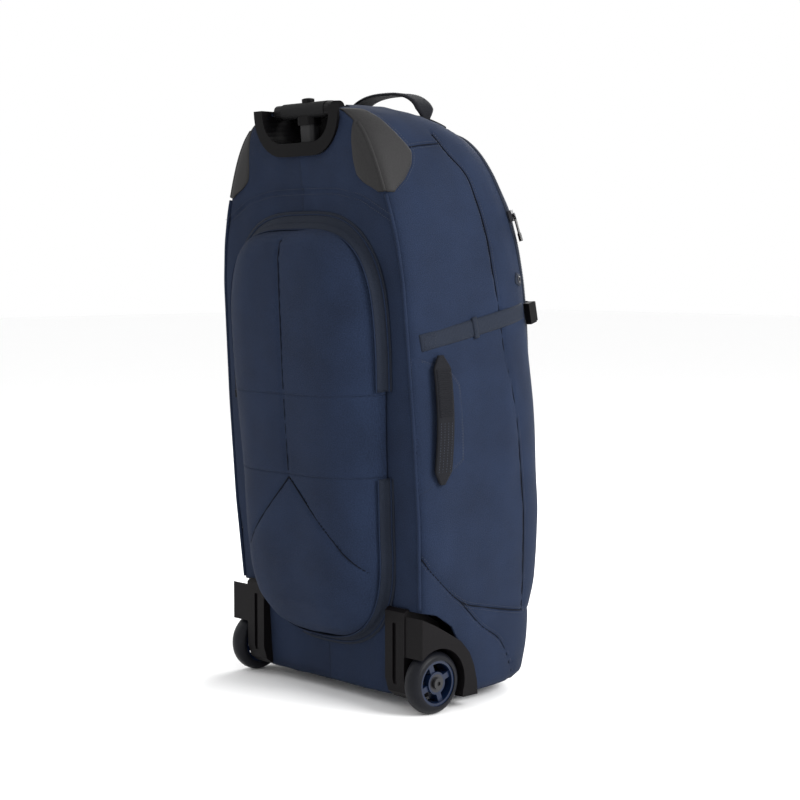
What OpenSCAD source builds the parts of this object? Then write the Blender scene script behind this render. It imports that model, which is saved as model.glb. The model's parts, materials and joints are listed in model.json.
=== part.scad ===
// Upright two-wheel kit bag: soft body, front lid, one-pole trolley handle, stowed harness

/* [Body] */
// Height of the fabric body's top above the floor
body_top = 723; // [715:1:730]
// Half width of the body at its widest
body_half_w = 184; // [180:1:186]
// Thickness of the padded fabric walls
wall = 4; // [3:0.5:5]
// Lean of the back panel from the vertical, in degrees
lean = 4.3; // [3.8:0.1:4.6]

/* [Wheels] */
// Outer radius of a wheel
wheel_r = 38; // [36:0.5:38.5]
// Width of a wheel
wheel_w = 24; // [22:1:25]
// Distance of each wheel's middle from the bag's middle
wheel_x = 165.6; // [164:0.2:166]

/* [Trolley handle] */
// Width of the fixed outer tube
pole_w = 34; // [32:1:36]
// Depth of the fixed outer tube
pole_d = 22; // [20:1:24]
// Clearance all round between one tube and the next
pole_gap = 0.35; // [0.3:0.05:0.4]
// Width of the grip
grip_w = 106; // [96:1:108]

/* [Compression straps] */
// Width of the webbing
webbing_w = 20; // [18:1:22]
// Thickness of the webbing
webbing_t = 2; // [1.6:0.1:2.4]

/* [Hidden] */

navy = "#2a3a58";
charcoal = "#4a4a4c";
black = "#1b1b1d";

// The body is drawn with the wheel axle at y = 0 and then moved so that the whole is centred
shift_y = -69;
eps = 0.01;
lay = 0.3;                   // gap between fabric pieces on different moving bodies
sides = 40;                  // points around one level of the body

// ---- Body outline: half width, back, front and squareness by height ----
body_z0 = 16;
back_y = -20;                // back panel at the height lean_z
lean_z = 100;
mid_y = 60;
level_z = [16, 24, 60, 105, 135, 230, 300, 360, 415, 510, 560, 600, 640, 665, 687, 703, 714, 720,
    body_top];

function half_w(z) = lookup(z, [[16, 162], [24, 169], [60, 174], [135, 178], [230, body_half_w],
    [360, body_half_w], [510, 179], [560, 172], [600, 161], [640, 147], [665, 137], [687, 125],
    [703, 110], [714, 93], [body_top, 62]]);
function front(z) = lookup(z, [[16, 200], [24, 210], [60, 214], [105, 217], [135, 227], [230, 230],
    [300, 224], [360, 217], [415, 207], [510, 196], [560, 194], [600, 189], [640, 176], [665, 165],
    [687, 144], [703, 116], [714, 88], [body_top, 48]]);
function back(z) = back_y - tan(lean) * (z - lean_z);
function middle(z) = lookup(z, [[600, mid_y], [690, 25], [body_top, -8]]);
function square_front(z) = lookup(z, [[640, 3.6], [body_top, 2.6]]);
function square_back(z) = lookup(z, [[600, 20], [690, 8], [body_top, 3]]);
back_taper = 0.035;          // the sides close in towards the back edges
function side_w(z, q) = half_w(z) * (1 - back_taper * q * q);

function signed_pow(v, e) = sign(v) * pow(abs(v), e);
function rim_point(z, g, t) = let(
    n = sin(t) < 0 ? square_back(z) : square_front(z),
    reach = sin(t) < 0 ? middle(z) - back(z) + g : front(z) - middle(z) + g,
    q = signed_pow(sin(t), 2 / n))
    [(side_w(z, min(q, 0)) + g) * signed_pow(cos(t), 2 / n), middle(z) + reach * q, z];

// Closed solid through rings of equal length, bottom ring first, each ring anticlockwise from above
module skin_rings(rings) {
    n = len(rings[0]);
    m = len(rings);
    points = [for (ring = rings) each ring];
    walls = [for (i = [0 : m - 2], j = [0 : n - 1]) each let(
        a = i * n + j, b = i * n + (j + 1) % n, c = a + n, d = b + n) [[a, c, b], [b, c, d]]];
    bottom = [[for (j = [0 : n - 1]) j]];
    top = [[for (j = [n - 1 : -1 : 0]) (m - 1) * n + j]];
    polyhedron(points, concat(walls, bottom, top), convexity = 6);
}

// The same for a curved sheet: each ring is its outer edge, then its inner edge back again
module skin_sheet(rings) {
    n = len(rings[0]);
    m = len(rings);
    points = [for (ring = rings) each ring];
    walls = [for (i = [0 : m - 2], j = [0 : n - 1]) each let(
        a = i * n + j, b = i * n + (j + 1) % n, c = a + n, d = b + n) [[a, c, b], [b, c, d]]];
    pairs = [for (j = [0 : n / 2 - 2]) [j, j + 1, n - 2 - j, n - 1 - j]];
    bottom = [for (p = pairs) each [[p[0], p[1], p[2]], [p[0], p[2], p[3]]]];
    top = [for (f = bottom) [for (k = [2 : -1 : 0]) (m - 1) * n + f[k]]];
    polyhedron(points, concat(walls, bottom, top), convexity = 6);
}

// The body grown by g all round (shrunk when g is negative)
module body_solid(g) {
    zs = [body_z0 - g, each [for (z = level_z) if (z > body_z0 - g + 2 && z < body_top + g - 2) z],
        body_top + g];
    skin_rings([for (z = zs) [for (j = [0 : sides - 1]) let(
        p = rim_point(max(body_z0, min(z, body_top)), g, 360 * (j + 0.5) / sides))
        [p[0], p[1], z]]]);
}

module body_layer(inner_g, outer_g) {
    difference() {
        body_solid(outer_g);
        body_solid(inner_g);
    }
}

function backwards(list) = [for (i = [len(list) - 1 : -1 : 0]) list[i]];

// ---- Frames of reference ----
// Back panel's own frame: y = 0 on the panel, + into the bag, z up along the panel from lean_z
module on_back() {
    translate([0, back_y, lean_z]) rotate([lean, 0, 0]) children();
}

module centred() {
    translate([0, shift_y, 0]) children();
}

module both_sides() {
    children();
    mirror([1, 0, 0]) children();
}

module one_side(s) {
    if (s > 0) children();
    else mirror([1, 0, 0]) children();
}

// Plate in the y-z plane, between x = x0 and x = x1, from an outline of [y, z] points
module side_plate(x0, x1, outline) {
    translate([x0, 0, 0]) rotate([90, 0, 90]) linear_extrude(x1 - x0) polygon(outline);
}

// Plate in the x-z plane, between y = y0 and y = y1, from an outline of [x, z] points
module back_plate(y0, y1, outline) {
    translate([0, y1, 0]) rotate([90, 0, 0]) linear_extrude(y1 - y0) polygon(outline);
}

function arc(cx, cy, r, a0, a1, n) = [for (i = [0 : n]) let(a = a0 + (a1 - a0) * i / n)
    [cx + r * cos(a), cy + r * sin(a)]];

// Rounded rectangle: half width w, from z0 to z1, corner radii rb below and rt above
function pad_outline(w, z0, z1, rb, rt, n = 8) = concat(
    arc(w - rb, z0 + rb, rb, -90, 0, n), arc(w - rt, z1 - rt, rt, 0, 90, n),
    arc(-w + rt, z1 - rt, rt, 90, 180, n), arc(-w + rb, z0 + rb, rb, 180, 270, n));

// Flat oval bar section for the trolley tubes
module oval(w, d) {
    r = d * 0.42;
    polygon(pad_outline(w / 2, -d / 2, d / 2, r, r, 6));
}

// ---- Front lid: everything in front of this line, seen from the side ----
lid_z = 190;
lid_line = [[214, lid_z], [205, 354], [164, 509], [147, 580], [136, 643], [124, 690], [112, 740]];

module lid_region(gap) {
    side_plate(-300, 300, concat([[300, lid_z + gap]], [[lid_line[0][0] + gap, lid_z + gap]],
        [for (i = [1 : len(lid_line) - 1]) [lid_line[i][0] + gap, lid_line[i][1]]], [[300, 740]]));
}

// ---- Wheel housings ----
housing_in = 116;
housing_out = 180;
well_in = 150;
well_r = wheel_r + 4;
axle_z = wheel_r;
fender = [[-28, 40], [-28, 118], [-6, 108], [14, 97], [36, 84], [50, 69], [58, 52], [63, 32],
    [64, 16], [-10, 16]];
leg = [[-29, 40], [-29, 122], [-24, 126], [0, 120], [26, 104], [36, 84], [50, 69], [58, 52],
    [63, 32], [64, 16], [-14, 16], [-24, 24]];
cut_out = [[-60, 0], [-60, 127], [-24, 127], [2, 121.4], [28, 104], [38, 86], [51.5, 71], [60, 53],
    [65, 32], [66, 0]];

module housing_space() {
    both_sides() side_plate(housing_in - 0.4, 220, cut_out);
}

// ---- Recess for the grip ----
cup_w = 62;                  // half width of the opening
cup_floor = 581;             // along the back panel
cup_deep = 46;
cup_wall = 3;
rim_w = 16;                  // width of the moulded collar
cup_top = 640;

function scoop(g) = concat(arc(cup_w - 34, cup_floor + 34, 34 + g, -90, 0, 8),
    [[cup_w + g, cup_top], [-cup_w - g, cup_top]],
    arc(-cup_w + 34, cup_floor + 34, 34 + g, 180, 270, 8));

module cup_space(g) {
    on_back() back_plate(-40, cup_deep + g, scoop(g));
}

module main_shell() {
    color(navy) centred() difference() {
        body_layer(-wall, 0);
        lid_region(0);
        housing_space();
        cup_space(cup_wall + 0.2);
        both_sides() translate([foot_x, foot_y, 0]) cylinder(h = 40, r = 2.5, $fn = 32);
    }
}

module front_lid() {
    color(navy) centred() intersection() {
        body_layer(-wall, 0);
        lid_region(lay);
    }
}

// ---- Zips: tape round the lid, and a slider with its puller for each zip ----
zip_w = 9;
module main_zip() {
    color(charcoal) centred() difference() {
        intersection() {
            body_layer(0.1, 1.8);
            side_plate(-300, 300, concat([[216, lid_z + 30]],
                [for (i = [1 : len(lid_line) - 1]) lid_line[i]],
                [for (i = [len(lid_line) - 1 : -1 : 1]) [lid_line[i][0] - zip_w, lid_line[i][1]]],
                [[216 - zip_w, lid_z + 30]]));
        }
        translate([-60, 40, 690]) cube([120, 50, 60]);
    }
}

// Slider: its own frame has x across the tape, -y away from the bag and z along the tape
pin_y = -3.6;
pin_r = 0.8;
module zip_slider() {
    difference() {
        union() {
            translate([-4.5, -2, -7]) cube([9, 4, 14]);
            translate([-1.5, -5, -2.4]) cube([3, 3 + eps, 4.8]);
        }
        translate([-5, pin_y, 0]) rotate([0, 90, 0]) cylinder(h = 10, r = pin_r + 0.08, $fn = 24);
    }
}

// Puller: a pin through the slider's bridge, two short arms and a moulded end
module zip_puller(length) {
    translate([-2.8, pin_y, 0]) rotate([0, 90, 0]) cylinder(h = 5.6, r = pin_r, $fn = 24);
    for (s = [-1, 1]) translate([s * 2.3 - 0.5, pin_y - pin_r, -8]) cube([1, 2 * pin_r, 8]);
    translate([-2.8, pin_y - pin_r, -length]) cube([5.6, 2 * pin_r, length - 6]);
    translate([-3.5, pin_y - 1.4, -length - 9]) cube([7, 2.8, 10]);
}

slider_pos = [159, 141.55, 592.7];
slider_turn = [-14.08, -6.84, 115.76];
module at_main_slider() {
    centred() translate(slider_pos) rotate(slider_turn) children();
}

module main_zip_slider() {
    color("#8a8c8f") at_main_slider() zip_slider();
}

module main_zip_puller() {
    color(black) at_main_slider() zip_puller(24);
}

// ---- Piping down both back edges ----
pipe_r = 2.4;
pipe_z = [126, 230, 360, 500, 560, 600, 640, 680];
function corner_x(z) = side_w(z, 1) * pow(cos(45), 2 / square_back(z));
function corner_y(z) = middle(z) - (middle(z) - back(z)) * pow(sin(45), 2 / square_back(z));
module pipe_run() {
    path = [for (z = pipe_z) [corner_x(z) + 1.2, corner_y(z) - 1.2, z]];
    skin_rings([for (p = path) [for (j = [0 : 7]) p + pipe_r * [cos(j * 45), sin(j * 45), 0]]]);
}

module piping() {
    color(black) centred() difference() {
        both_sides() pipe_run();
        body_solid(eps);
    }
}

// Leather-look guards over both upper back corners
module corner_guards() {
    color("#5b5b5c") centred() difference() {
        both_sides() intersection() {
            body_layer(0.1, 1.5);
            translate([126, -40, 670]) scale([0.62, 1.15, 1]) sphere(r = 52, $fn = 24);
        }
        both_sides() pipe_run();
        on_back() back_plate(-10, cup_deep + 20, pad_outline(cup_w + rim_w + 4, 560, 700, 30, 10));
    }
}

// ---- Stiffeners inside ----
sheet_y = 34;
module frame_sheet() {
    color("#d8d8d2") centred() on_back()
        back_plate(sheet_y, sheet_y + 2, concat([[-108, -62], [108, -62], [108, 36], [150, 36]],
            arc(126, 446, 24, 0, 90, 6), arc(-126, 446, 24, 90, 180, 6), [[-150, 36], [-108, 36]]));
}

module base_board() {
    color("#303236") centred() translate([0, 0, body_z0 + wall + eps]) difference() {
        linear_extrude(3) polygon(concat([[-108, -8], [108, -8], [108, 74], [130, 74]],
            arc(102, 148, 28, 0, 90, 6), arc(-102, 148, 28, 90, 180, 6), [[-130, 74], [-108, 74]]));
        for (s = [-1, 1]) translate([s * foot_x, foot_y, -1]) cylinder(h = 5, r = 2.5, $fn = 32);
    }
}

foot_x = 96;
foot_y = 158;
module front_feet() {
    color(black) centred() both_sides() translate([foot_x, foot_y, 0]) difference() {
        cylinder(h = body_z0 - eps, r1 = 13, r2 = 18, $fn = 48);
        translate([0, 0, -1]) cylinder(h = 6, r = 5, $fn = 32);
        cylinder(h = 40, r = 2.5, $fn = 32);
    }
}

module foot_screws() {
    color("#9a9da0") centred() both_sides() translate([foot_x, foot_y, 2]) {
        cylinder(h = 3 - eps, r = 4.4, $fn = 32);
        cylinder(h = body_z0 + 10, r = 2.4, $fn = 32);
        translate([0, 0, body_z0 + wall + 1.2]) cylinder(h = 3, r = 5, $fn = 6);
    }
}

module recess_cup() {
    color(black) centred() difference() {
        on_back() union() {
            back_plate(-3, cup_deep + cup_wall, scoop(cup_wall));
            back_plate(-4, 0, scoop(rim_w));
        }
        cup_space(0);
        translate([0, 0, body_top - 2]) linear_extrude(60) square([400, 400], center = true);
        on_back() translate([0, pole_y, 500]) linear_extrude(100) oval(pole_w + 0.6, pole_d + 0.6);
    }
}

// ---- One-pole telescopic handle, along the back panel ----
pole_y = 19;
tube = 1.5;
pole_low = -66;
pole_top = cup_floor - 3;
mid_w = pole_w - 2 * (tube + pole_gap);
mid_d = pole_d - 2 * (tube + pole_gap);
in_w = mid_w - 2 * (tube + pole_gap);
in_d = mid_d - 2 * (tube + pole_gap);

module oval_tube(w, d, z0, z1) {
    translate([0, pole_y, z0]) linear_extrude(z1 - z0) difference() {
        oval(w, d);
        oval(w - 2 * tube, d - 2 * tube);
    }
}

module pole_outer() {
    color("#26272a") centred() on_back() oval_tube(pole_w, pole_d, pole_low, pole_top);
}

module pole_foot() {
    color("#2c2d30") centred() on_back() translate([0, pole_y, 0]) difference() {
        translate([0, 0, pole_low - 8]) linear_extrude(30) oval(pole_w + 8, pole_d + 7);
        translate([0, 0, pole_low]) linear_extrude(60) oval(pole_w, pole_d);
    }
}

module pole_collar() {
    color(black) centred() on_back() translate([0, pole_y, pole_top - 12]) linear_extrude(12)
        difference() {
            oval(pole_w + 5, pole_d + 5);
            oval(pole_w, pole_d);
        }
}

middle_low = pole_low + 8;
middle_top = pole_top + 4;
module pole_middle() {
    color("#8b8e92") centred() on_back() oval_tube(mid_w, mid_d, middle_low, middle_top - 6);
}

module middle_collar() {
    color(black) centred() on_back() translate([0, pole_y, middle_top - 6]) linear_extrude(6)
        difference() {
            oval(mid_w, mid_d);
            oval(in_w + 0.5, in_d + 0.5);
        }
}

grip_low = 610;
grip_h = 19;
grip_d = 24;
module pole_inner() {
    color("#303134") centred() on_back() oval_tube(in_w, in_d, middle_low + 8, grip_low);
}

// Grip: moulded core with a socket for the inner tube, two end caps, a soft sleeve and a button
function bar_outline(d, h) = pad_outline(d / 2, 0, h, h * 0.42, h * 0.42, 6);
module grip_bar(x0, x1, d, h) {
    side_plate(x0, x1, [for (p = bar_outline(d, h)) [p[0] + pole_y, p[1] + grip_low]]);
}

button_w = 17;
button_d = 11;
cap_len = 13;
module grip_core() {
    color(black) centred() on_back() difference() {
        union() {
            grip_bar(-grip_w / 2 + cap_len, grip_w / 2 - cap_len, grip_d - 4, grip_h - 4);
            translate([0, pole_y, grip_low - 8]) linear_extrude(12) oval(in_w + 6, in_d + 5);
        }
        translate([0, pole_y, grip_low - 30]) linear_extrude(30 + eps) oval(in_w, in_d);
        translate([0, pole_y, grip_low + 6]) linear_extrude(40) oval(button_w + 0.6, button_d + 0.6);
    }
}

module grip_sleeve() {
    color("#202022") centred() on_back() difference() {
        grip_bar(-grip_w / 2 + cap_len + 0.2, grip_w / 2 - cap_len - 0.2, grip_d, grip_h);
        grip_bar(-grip_w / 2, grip_w / 2, grip_d - 4 + eps, grip_h - 4 + eps);
        translate([0, pole_y, grip_low - 30]) linear_extrude(34) oval(in_w + 7, in_d + 6);
        translate([0, pole_y, grip_low + 6]) linear_extrude(40) oval(button_w + 3, button_d + 3);
    }
}

module grip_caps() {
    color("#1a1b1e") centred() on_back() both_sides()
        grip_bar(grip_w / 2 - cap_len + eps, grip_w / 2, grip_d - 1, grip_h - 1);
}

module grip_button() {
    color("#111113") centred() on_back() translate([0, pole_y, grip_low + 11]) intersection() {
        linear_extrude(20) oval(button_w, button_d);
        translate([0, 0, -8]) sphere(r = 21.5, $fn = 48);
    }
}

// ---- Harness cover: a bulged panel in three parts, with a zip round its upper and lower ends ----
cover_t = 3;
upper_end = 282;             // where the upper flap folds down
lower_end = 184;             // where the lower flap folds up
low_mid = 110;               // below this the outline rounds in: half width 124, reach 134
low_half = 124;
low_reach = 134;
high_mid = 330;              // above this it rounds in: half width 136, reach 149
high_half = 136;
high_reach = 149;
low_n = 2.5;
high_n = 2.6;
cover_low = low_mid - low_reach;
cover_high = high_mid + high_reach;

function round_end(d, n) = pow(max(0, 1 - pow(max(0, d), n)), 1 / n);
function cover_half(z) = lookup(z, [[low_mid, low_half], [180, 128], [286, 128], [high_mid, high_half]])
    * round_end((low_mid - z) / low_reach, low_n) * round_end((z - high_mid) / high_reach, high_n);
function cover_rise(z) = lookup(z, [[-24, 5], [-20, 20], [-5, 38], [24, 50], [80, 54], [180, 50],
    [286, 50], [390, 42], [446, 36], [470, 28], [479, 5]]);
function cover_shape(u) = pow(1 - pow(abs(u), 2.6), 0.55);
function inner_half(z) = max(8, min(cover_half(z - cover_t), cover_half(z + cover_t)) - cover_t);
function inner_rise(z) = max(1, min(cover_rise(z - cover_t), cover_rise(z + cover_t)) - 4);
cover_lift = 2.5;            // the panel's edge stands off the back panel
inner_lift = 2.9;
cover_levels = [-20, -14, -5, 8, 24, 44, 66, 110, 180, 286, 330, 370, 400, 425, 446, 460, 470, 475];

// Outline of the cover grown by g, anticlockwise
function cover_quarter(half, reach, n, mid, s, g) = [for (t = [0 : 7.5 : 90])
    [(half + g) * pow(cos(t), 2 / n), mid + s * (reach + g) * pow(sin(t), 2 / n)]];
function cover_outline(g) = let(
    low = cover_quarter(low_half, low_reach, low_n, low_mid, -1, g),
    high = cover_quarter(high_half, high_reach, high_n, high_mid, 1, g),
    right = concat(backwards(low), high),
    left = [for (i = [len(right) - 2 : -1 : 1]) [-right[i][0], right[i][1]]])
    concat(right, left);

module cover_patch(z0, z1) {
    zs = [z0, each [for (z = cover_levels) if (z > z0 + 1 && z < z1 - 1) z], z1];
    n = 18;
    us = [for (i = [0 : n]) -cos(180 * i / n)];
    outer = [for (z = zs) [for (u = us)
        [u * cover_half(z), -cover_lift - (cover_rise(z) - 1) * cover_shape(u), z]]];
    inner = [for (z = zs) [for (i = [n : -1 : 0])
        [us[i] * inner_half(z), -inner_lift - inner_rise(z) * cover_shape(us[i]), z]]];
    skin_sheet([for (k = [0 : len(zs) - 1]) concat(outer[k], inner[k])]);
}

module harness_upper_panel() {
    color(navy) centred() on_back() cover_patch(upper_end + lay, cover_high - 1);
}

module harness_bridge() {
    color(navy) centred() on_back() cover_patch(lower_end, upper_end);
}

module harness_lower_panel() {
    color(navy) centred() on_back() cover_patch(cover_low + 1, lower_end - lay);
}

band = 12;
module cover_zip(z0, z1) {
    difference() {
        back_plate(-3, -eps, cover_outline(band));
        back_plate(-9, 9, cover_outline(0.6));
        back_plate(-9, 9, [[-300, z0 - 900], [300, z0 - 900], [300, z0], [-300, z0]]);
        back_plate(-9, 9, [[-300, z1], [300, z1], [300, z1 + 900], [-300, z1 + 900]]);
    }
}

module upper_zip() {
    color(charcoal) centred() on_back() cover_zip(upper_end + 4, 900);
}

module lower_zip() {
    color(charcoal) centred() difference() {
        on_back() cover_zip(-900, lower_end - 2);
        housing_space();
    }
}

upper_slider = [-141.5, -5.2, 300];
lower_slider = [-131, -5.2, 146];
module at_cover_slider(spot) {
    centred() on_back() translate(spot) children();
}

module upper_zip_slider() { color("#8a8c8f") at_cover_slider(upper_slider) zip_slider(); }
module upper_zip_puller() { color(black) at_cover_slider(upper_slider) zip_puller(26); }
module lower_zip_slider() { color("#8a8c8f") at_cover_slider(lower_slider) zip_slider(); }
module lower_zip_puller() { color(black) at_cover_slider(lower_slider) zip_puller(26); }

// ---- Stowed harness ----
module back_pad() {
    color("#3a3b3e") centred() on_back()
        back_plate(-6, -0.1, cover_outline(-14));
}

module shoulder_straps() {
    color("#2b2c2f") centred() on_back() both_sides()
        back_plate(-18, -6.3, concat(arc(52, 96, 26, 180, 360, 8), [[76, 250], [70, 420]],
            arc(44, 430, 26, 0, 180, 8), [[20, 420], [27, 250]]));
}

module hip_belt() {
    color("#2b2c2f") centred() on_back() both_sides()
        back_plate(-32, -18.4, concat([[14, 44], [50, 44]], arc(60, 69, 25, -60, 90, 6), [[14, 94]]));
}

// ---- Wheels ----
bearing_r = 11;
bearing_w = 7;
bolt_r = 4;
module ring(r_in, r_out, x0, x1) {
    translate([x0, 0, 0]) rotate([0, 90, 0]) difference() {
        cylinder(h = x1 - x0, r = r_out, $fn = 96);
        translate([0, 0, -1]) cylinder(h = x1 - x0 + 2, r = r_in, $fn = 64);
    }
}

module at_wheel(s) {
    centred() one_side(s) translate([wheel_x, 0, axle_z]) children();
}

tyre_in = 27.5;
crown = 8.5;
module tyre_shape() {
    hw = wheel_w / 2;
    rotate([0, 90, 0]) rotate_extrude($fn = 96) polygon(concat([[tyre_in, -hw], [wheel_r - crown, -hw]],
        [for (a = [-72 : 12 : 72]) [wheel_r - crown + crown * cos(a * 90 / 84), hw * sin(a * 90 / 84)]],
        [[wheel_r - crown, hw], [tyre_in, hw]]));
}

module hub_shape() {
    hw = wheel_w / 2 - 1.5;
    difference() {
        union() {
            ring(tyre_in - 3.5, tyre_in - eps, -hw, hw);
            ring(bearing_r, 13.4, -hw + 1, hw - 1);
            for (a = [0 : 90 : 270]) rotate([a + 20, 0, 0])
                translate([-hw + 3, -3.5, 12.6]) cube([2 * hw - 6, 7, tyre_in - 15.4]);
        }
        rotate([0, 90, 0]) translate([0, 0, -30]) cylinder(h = 60, r = bearing_r, $fn = 64);
    }
}

module bearing_pair() {
    hw = wheel_w / 2 - 2.5;
    ring(bolt_r + 0.04, bearing_r, hw - bearing_w, hw);
    ring(bolt_r + 0.04, bearing_r, -hw, -hw + bearing_w);
}

module bearing_spacer() {
    hw = wheel_w / 2 - 2.5 - bearing_w;
    ring(bolt_r + 0.05, 6, -hw + eps, hw - eps);
}

module axle_bolt() {
    tip = housing_in - wheel_x - 7;
    rotate([0, 90, 0]) translate([0, 0, tip]) cylinder(h = wheel_w / 2 - 2 - tip, r = bolt_r, $fn = 48);
    difference() {
        rotate([0, 90, 0]) translate([0, 0, wheel_w / 2 - 2.2]) cylinder(h = 3.4, r = 7, $fn = 48);
        rotate([0, 90, 0]) translate([0, 0, wheel_w / 2 - 1]) cylinder(h = 4, r = 2.9, $fn = 6);
    }
    rotate([0, 90, 0]) translate([0, 0, tip + 0.5]) cylinder(h = 6.4, r = 7.2, $fn = 6);
}

module tyre_left() { color("#1e1f21") at_wheel(-1) tyre_shape(); }
module tyre_right() { color("#1e1f21") at_wheel(1) tyre_shape(); }
module hub_left() { color("#1f3f7a") at_wheel(-1) hub_shape(); }
module hub_right() { color("#1f3f7a") at_wheel(1) hub_shape(); }
module bearings_left() { color("#a9acb0") at_wheel(-1) bearing_pair(); }
module bearings_right() { color("#a9acb0") at_wheel(1) bearing_pair(); }
module spacer_left() { color("#c9cbd0") at_wheel(-1) bearing_spacer(); }
module spacer_right() { color("#c9cbd0") at_wheel(1) bearing_spacer(); }
module axle_left() { color("#2a2b2d") at_wheel(-1) axle_bolt(); }
module axle_right() { color("#2a2b2d") at_wheel(1) axle_bolt(); }

screw_spots = [[-8, 72], [20, 60]];
boss_end = wheel_x - wheel_w / 2 + 2.2;
module wheel_bore(r, x0, x1) {
    translate([x0, 0, axle_z]) rotate([0, 90, 0]) cylinder(h = x1 - x0, r = r, $fn = 96);
}

module housing_shape() {
    difference() {
        union() {
            difference() {
                union() {
                    side_plate(housing_in, well_in, leg);
                    side_plate(well_in - eps, housing_out, fender);
                }
                wheel_bore(well_r, well_in - 1, 210);
                translate([well_in, -90, -20]) cube([60, 90, axle_z + 20]);
                translate([well_in, -90, -20]) cube([60, 90 + well_r - 3, axle_z + 6]);
                // long groove down the back of the leg
                translate([129, -34, 34]) cube([6, 8, 74]);
            }
            // boss that spaces the wheel off the leg
            wheel_bore(6.5, well_in - 1 - eps, boss_end);
        }
        wheel_bore(bolt_r + 0.03, 90, 180);
    }
}

module housing_left() { color("#232426") centred() one_side(-1) housing_shape(); }
module housing_right() { color("#232426") centred() one_side(1) housing_shape(); }

module housing_screws() {
    color("#8d9093") centred() both_sides() for (p = screw_spots)
        translate([housing_in - 4.5, p[0], p[1]]) rotate([0, 90, 0])
            cylinder(h = 4.5 - eps, r = 4, $fn = 32);
}

// ---- Carry handles ----
grab_y = 86;
grab_half = 62;
grab_high = 748;
function arch(half, low, high, n) = [for (i = [0 : n]) let(a = 180 * i / n)
    [half * cos(a), low + (high - low) * pow(sin(a), 0.8)]];
grab_pivot_z = 718;
module grab_handle() {
    color(black) centred() intersection() {
        translate([0, grab_y + 15, 0]) rotate([90, 0, 0]) linear_extrude(30)
            polygon(concat(arch(grab_half + 3, grab_pivot_z - 1, grab_high, 16),
                backwards(arch(grab_half - 1, grab_pivot_z - 1, grab_high - 4, 16))));
        translate([0, grab_y, 0]) side_plate(-90, 90, [[-4, grab_pivot_z - 1], [4, grab_pivot_z - 1],
            [15, grab_pivot_z + 14], [15, 800], [-15, 800], [-15, grab_pivot_z + 14]]);
    }
}

module grab_handle_feet() {
    color(black) centred() both_sides() intersection() {
        body_layer(0.1, 2.2);
        translate([grab_half - 5, grab_y - 15, 600]) cube([30, 30, 200]);
    }
}

// Side handle: a band of webbing that bows out between its sewn ends
side_low = 276;
side_high = 428;
side_face = 184.6;           // inner face at the ends
side_bow = 4.1;
side_t = 2.8;
side_half = 13.5;
side_tip = 4;                // half width where it is sewn down
side_taper = 15;
function side_bowed(g) = [for (i = [0 : 16])
    [side_face + g + side_bow * pow(sin(180 * i / 16), 0.8),
        side_low + (side_high - side_low) * i / 16]];
module side_handle() {
    color("#2b2c2e") centred() intersection() {
        back_plate(-side_half, side_half, concat(side_bowed(side_t), backwards(side_bowed(0))));
        side_plate(170, 210, [[-side_tip, side_low], [side_tip, side_low],
            [side_half, side_low + side_taper], [side_half, side_high - side_taper],
            [side_tip, side_high], [-side_tip, side_high],
            [-side_half, side_high - side_taper], [-side_half, side_low + side_taper]]);
    }
}

module side_handle_patch() {
    color("#34363a") centred() intersection() {
        body_layer(0.1, 1.3);
        side_plate(166, 220, [[-38.5, 427], [-27, 424], [14, 411], [30, 393], [35, 337], [36, 301],
            [-4, 277], [-26.5, 260]]);
    }
}

// ---- Compression straps, both sides ----
strap_z = 441;
strap_rise = 11.1;
strap_end_y = 155.5;
module strap_path(g0, g1, w, y0, y1) {
    intersection() {
        body_layer(g0, g1);
        translate([0, -33, strap_z]) rotate([strap_rise, 0, 0])
            translate([60, y0 + 33, -w / 2]) cube([200, y1 - y0, w]);
    }
}

module strap_one() {
    strap_path(0.1, 0.1 + webbing_t, webbing_w, -29, strap_end_y);
}

module strap_right() { color(charcoal) centred() strap_one(); }
module strap_left() { color(charcoal) centred() mirror([1, 0, 0]) strap_one(); }

module strap_keepers() {
    color(charcoal) centred() both_sides()
        strap_path(0.1 + webbing_t, 1.6 + webbing_t, webbing_w + 5, 52, 60);
}

// Buckle: a socket on the body strap and a two-prong plug on the lid's webbing. It points
// the way the lid leaves, and the slot is roomy enough for the plug to swing out with the lid.
buckle_pos = [161.5, 163, 473.5];
buckle_turn = 104;
buckle_tilt = 12;
module buckle_frame() {
    translate(buckle_pos) rotate([buckle_tilt, 0, 0]) rotate([0, 0, buckle_turn]) children();
}

module buckle_sockets() {
    color(black) centred() both_sides() buckle_frame() difference() {
        translate([-7, -11.8, -13]) cube([14, 7.7, 26]);
        translate([-4.5, -10.7, -10.6]) cube([20, 5.5, 21.2]);
    }
}

plug_end = 11.4;
module buckle_plugs() {
    color(black) centred() both_sides() buckle_frame() {
        translate([7.4, -11, -12]) cube([plug_end - 7.4, 6.4, 24]);
        for (s = [-1, 1]) translate([-3, -7.8, s * 6.5 - 2]) cube([10.4 + eps, 2.2, 4]);
    }
}

// The lid's webbing leaves the plug and slants up over the lid
module lid_webbing() {
    color(charcoal) centred() both_sides() {
        buckle_frame() translate([0, 0, -webbing_w / 2]) linear_extrude(webbing_w)
            polygon([[plug_end, -8.4], [plug_end + 3.6, -8.4], [35, 26.2], [33.4, 27.4],
                [plug_end + 2.6, -6.4], [plug_end, -6.4]]);
        intersection() {
            body_layer(0.1, 0.1 + webbing_t);
            back_plate(178, 260, [[134, 468], [134, 496], [84, 535], [84, 509]]);
        }
    }
}

// Small sewn tab beside the main zip
module zip_tab() {
    color(charcoal) centred() both_sides() intersection() {
        body_layer(0.1, 1.6);
        side_plate(80, 220, [[132, 510], [149, 506], [151, 520], [136, 524]]);
    }
}

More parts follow.
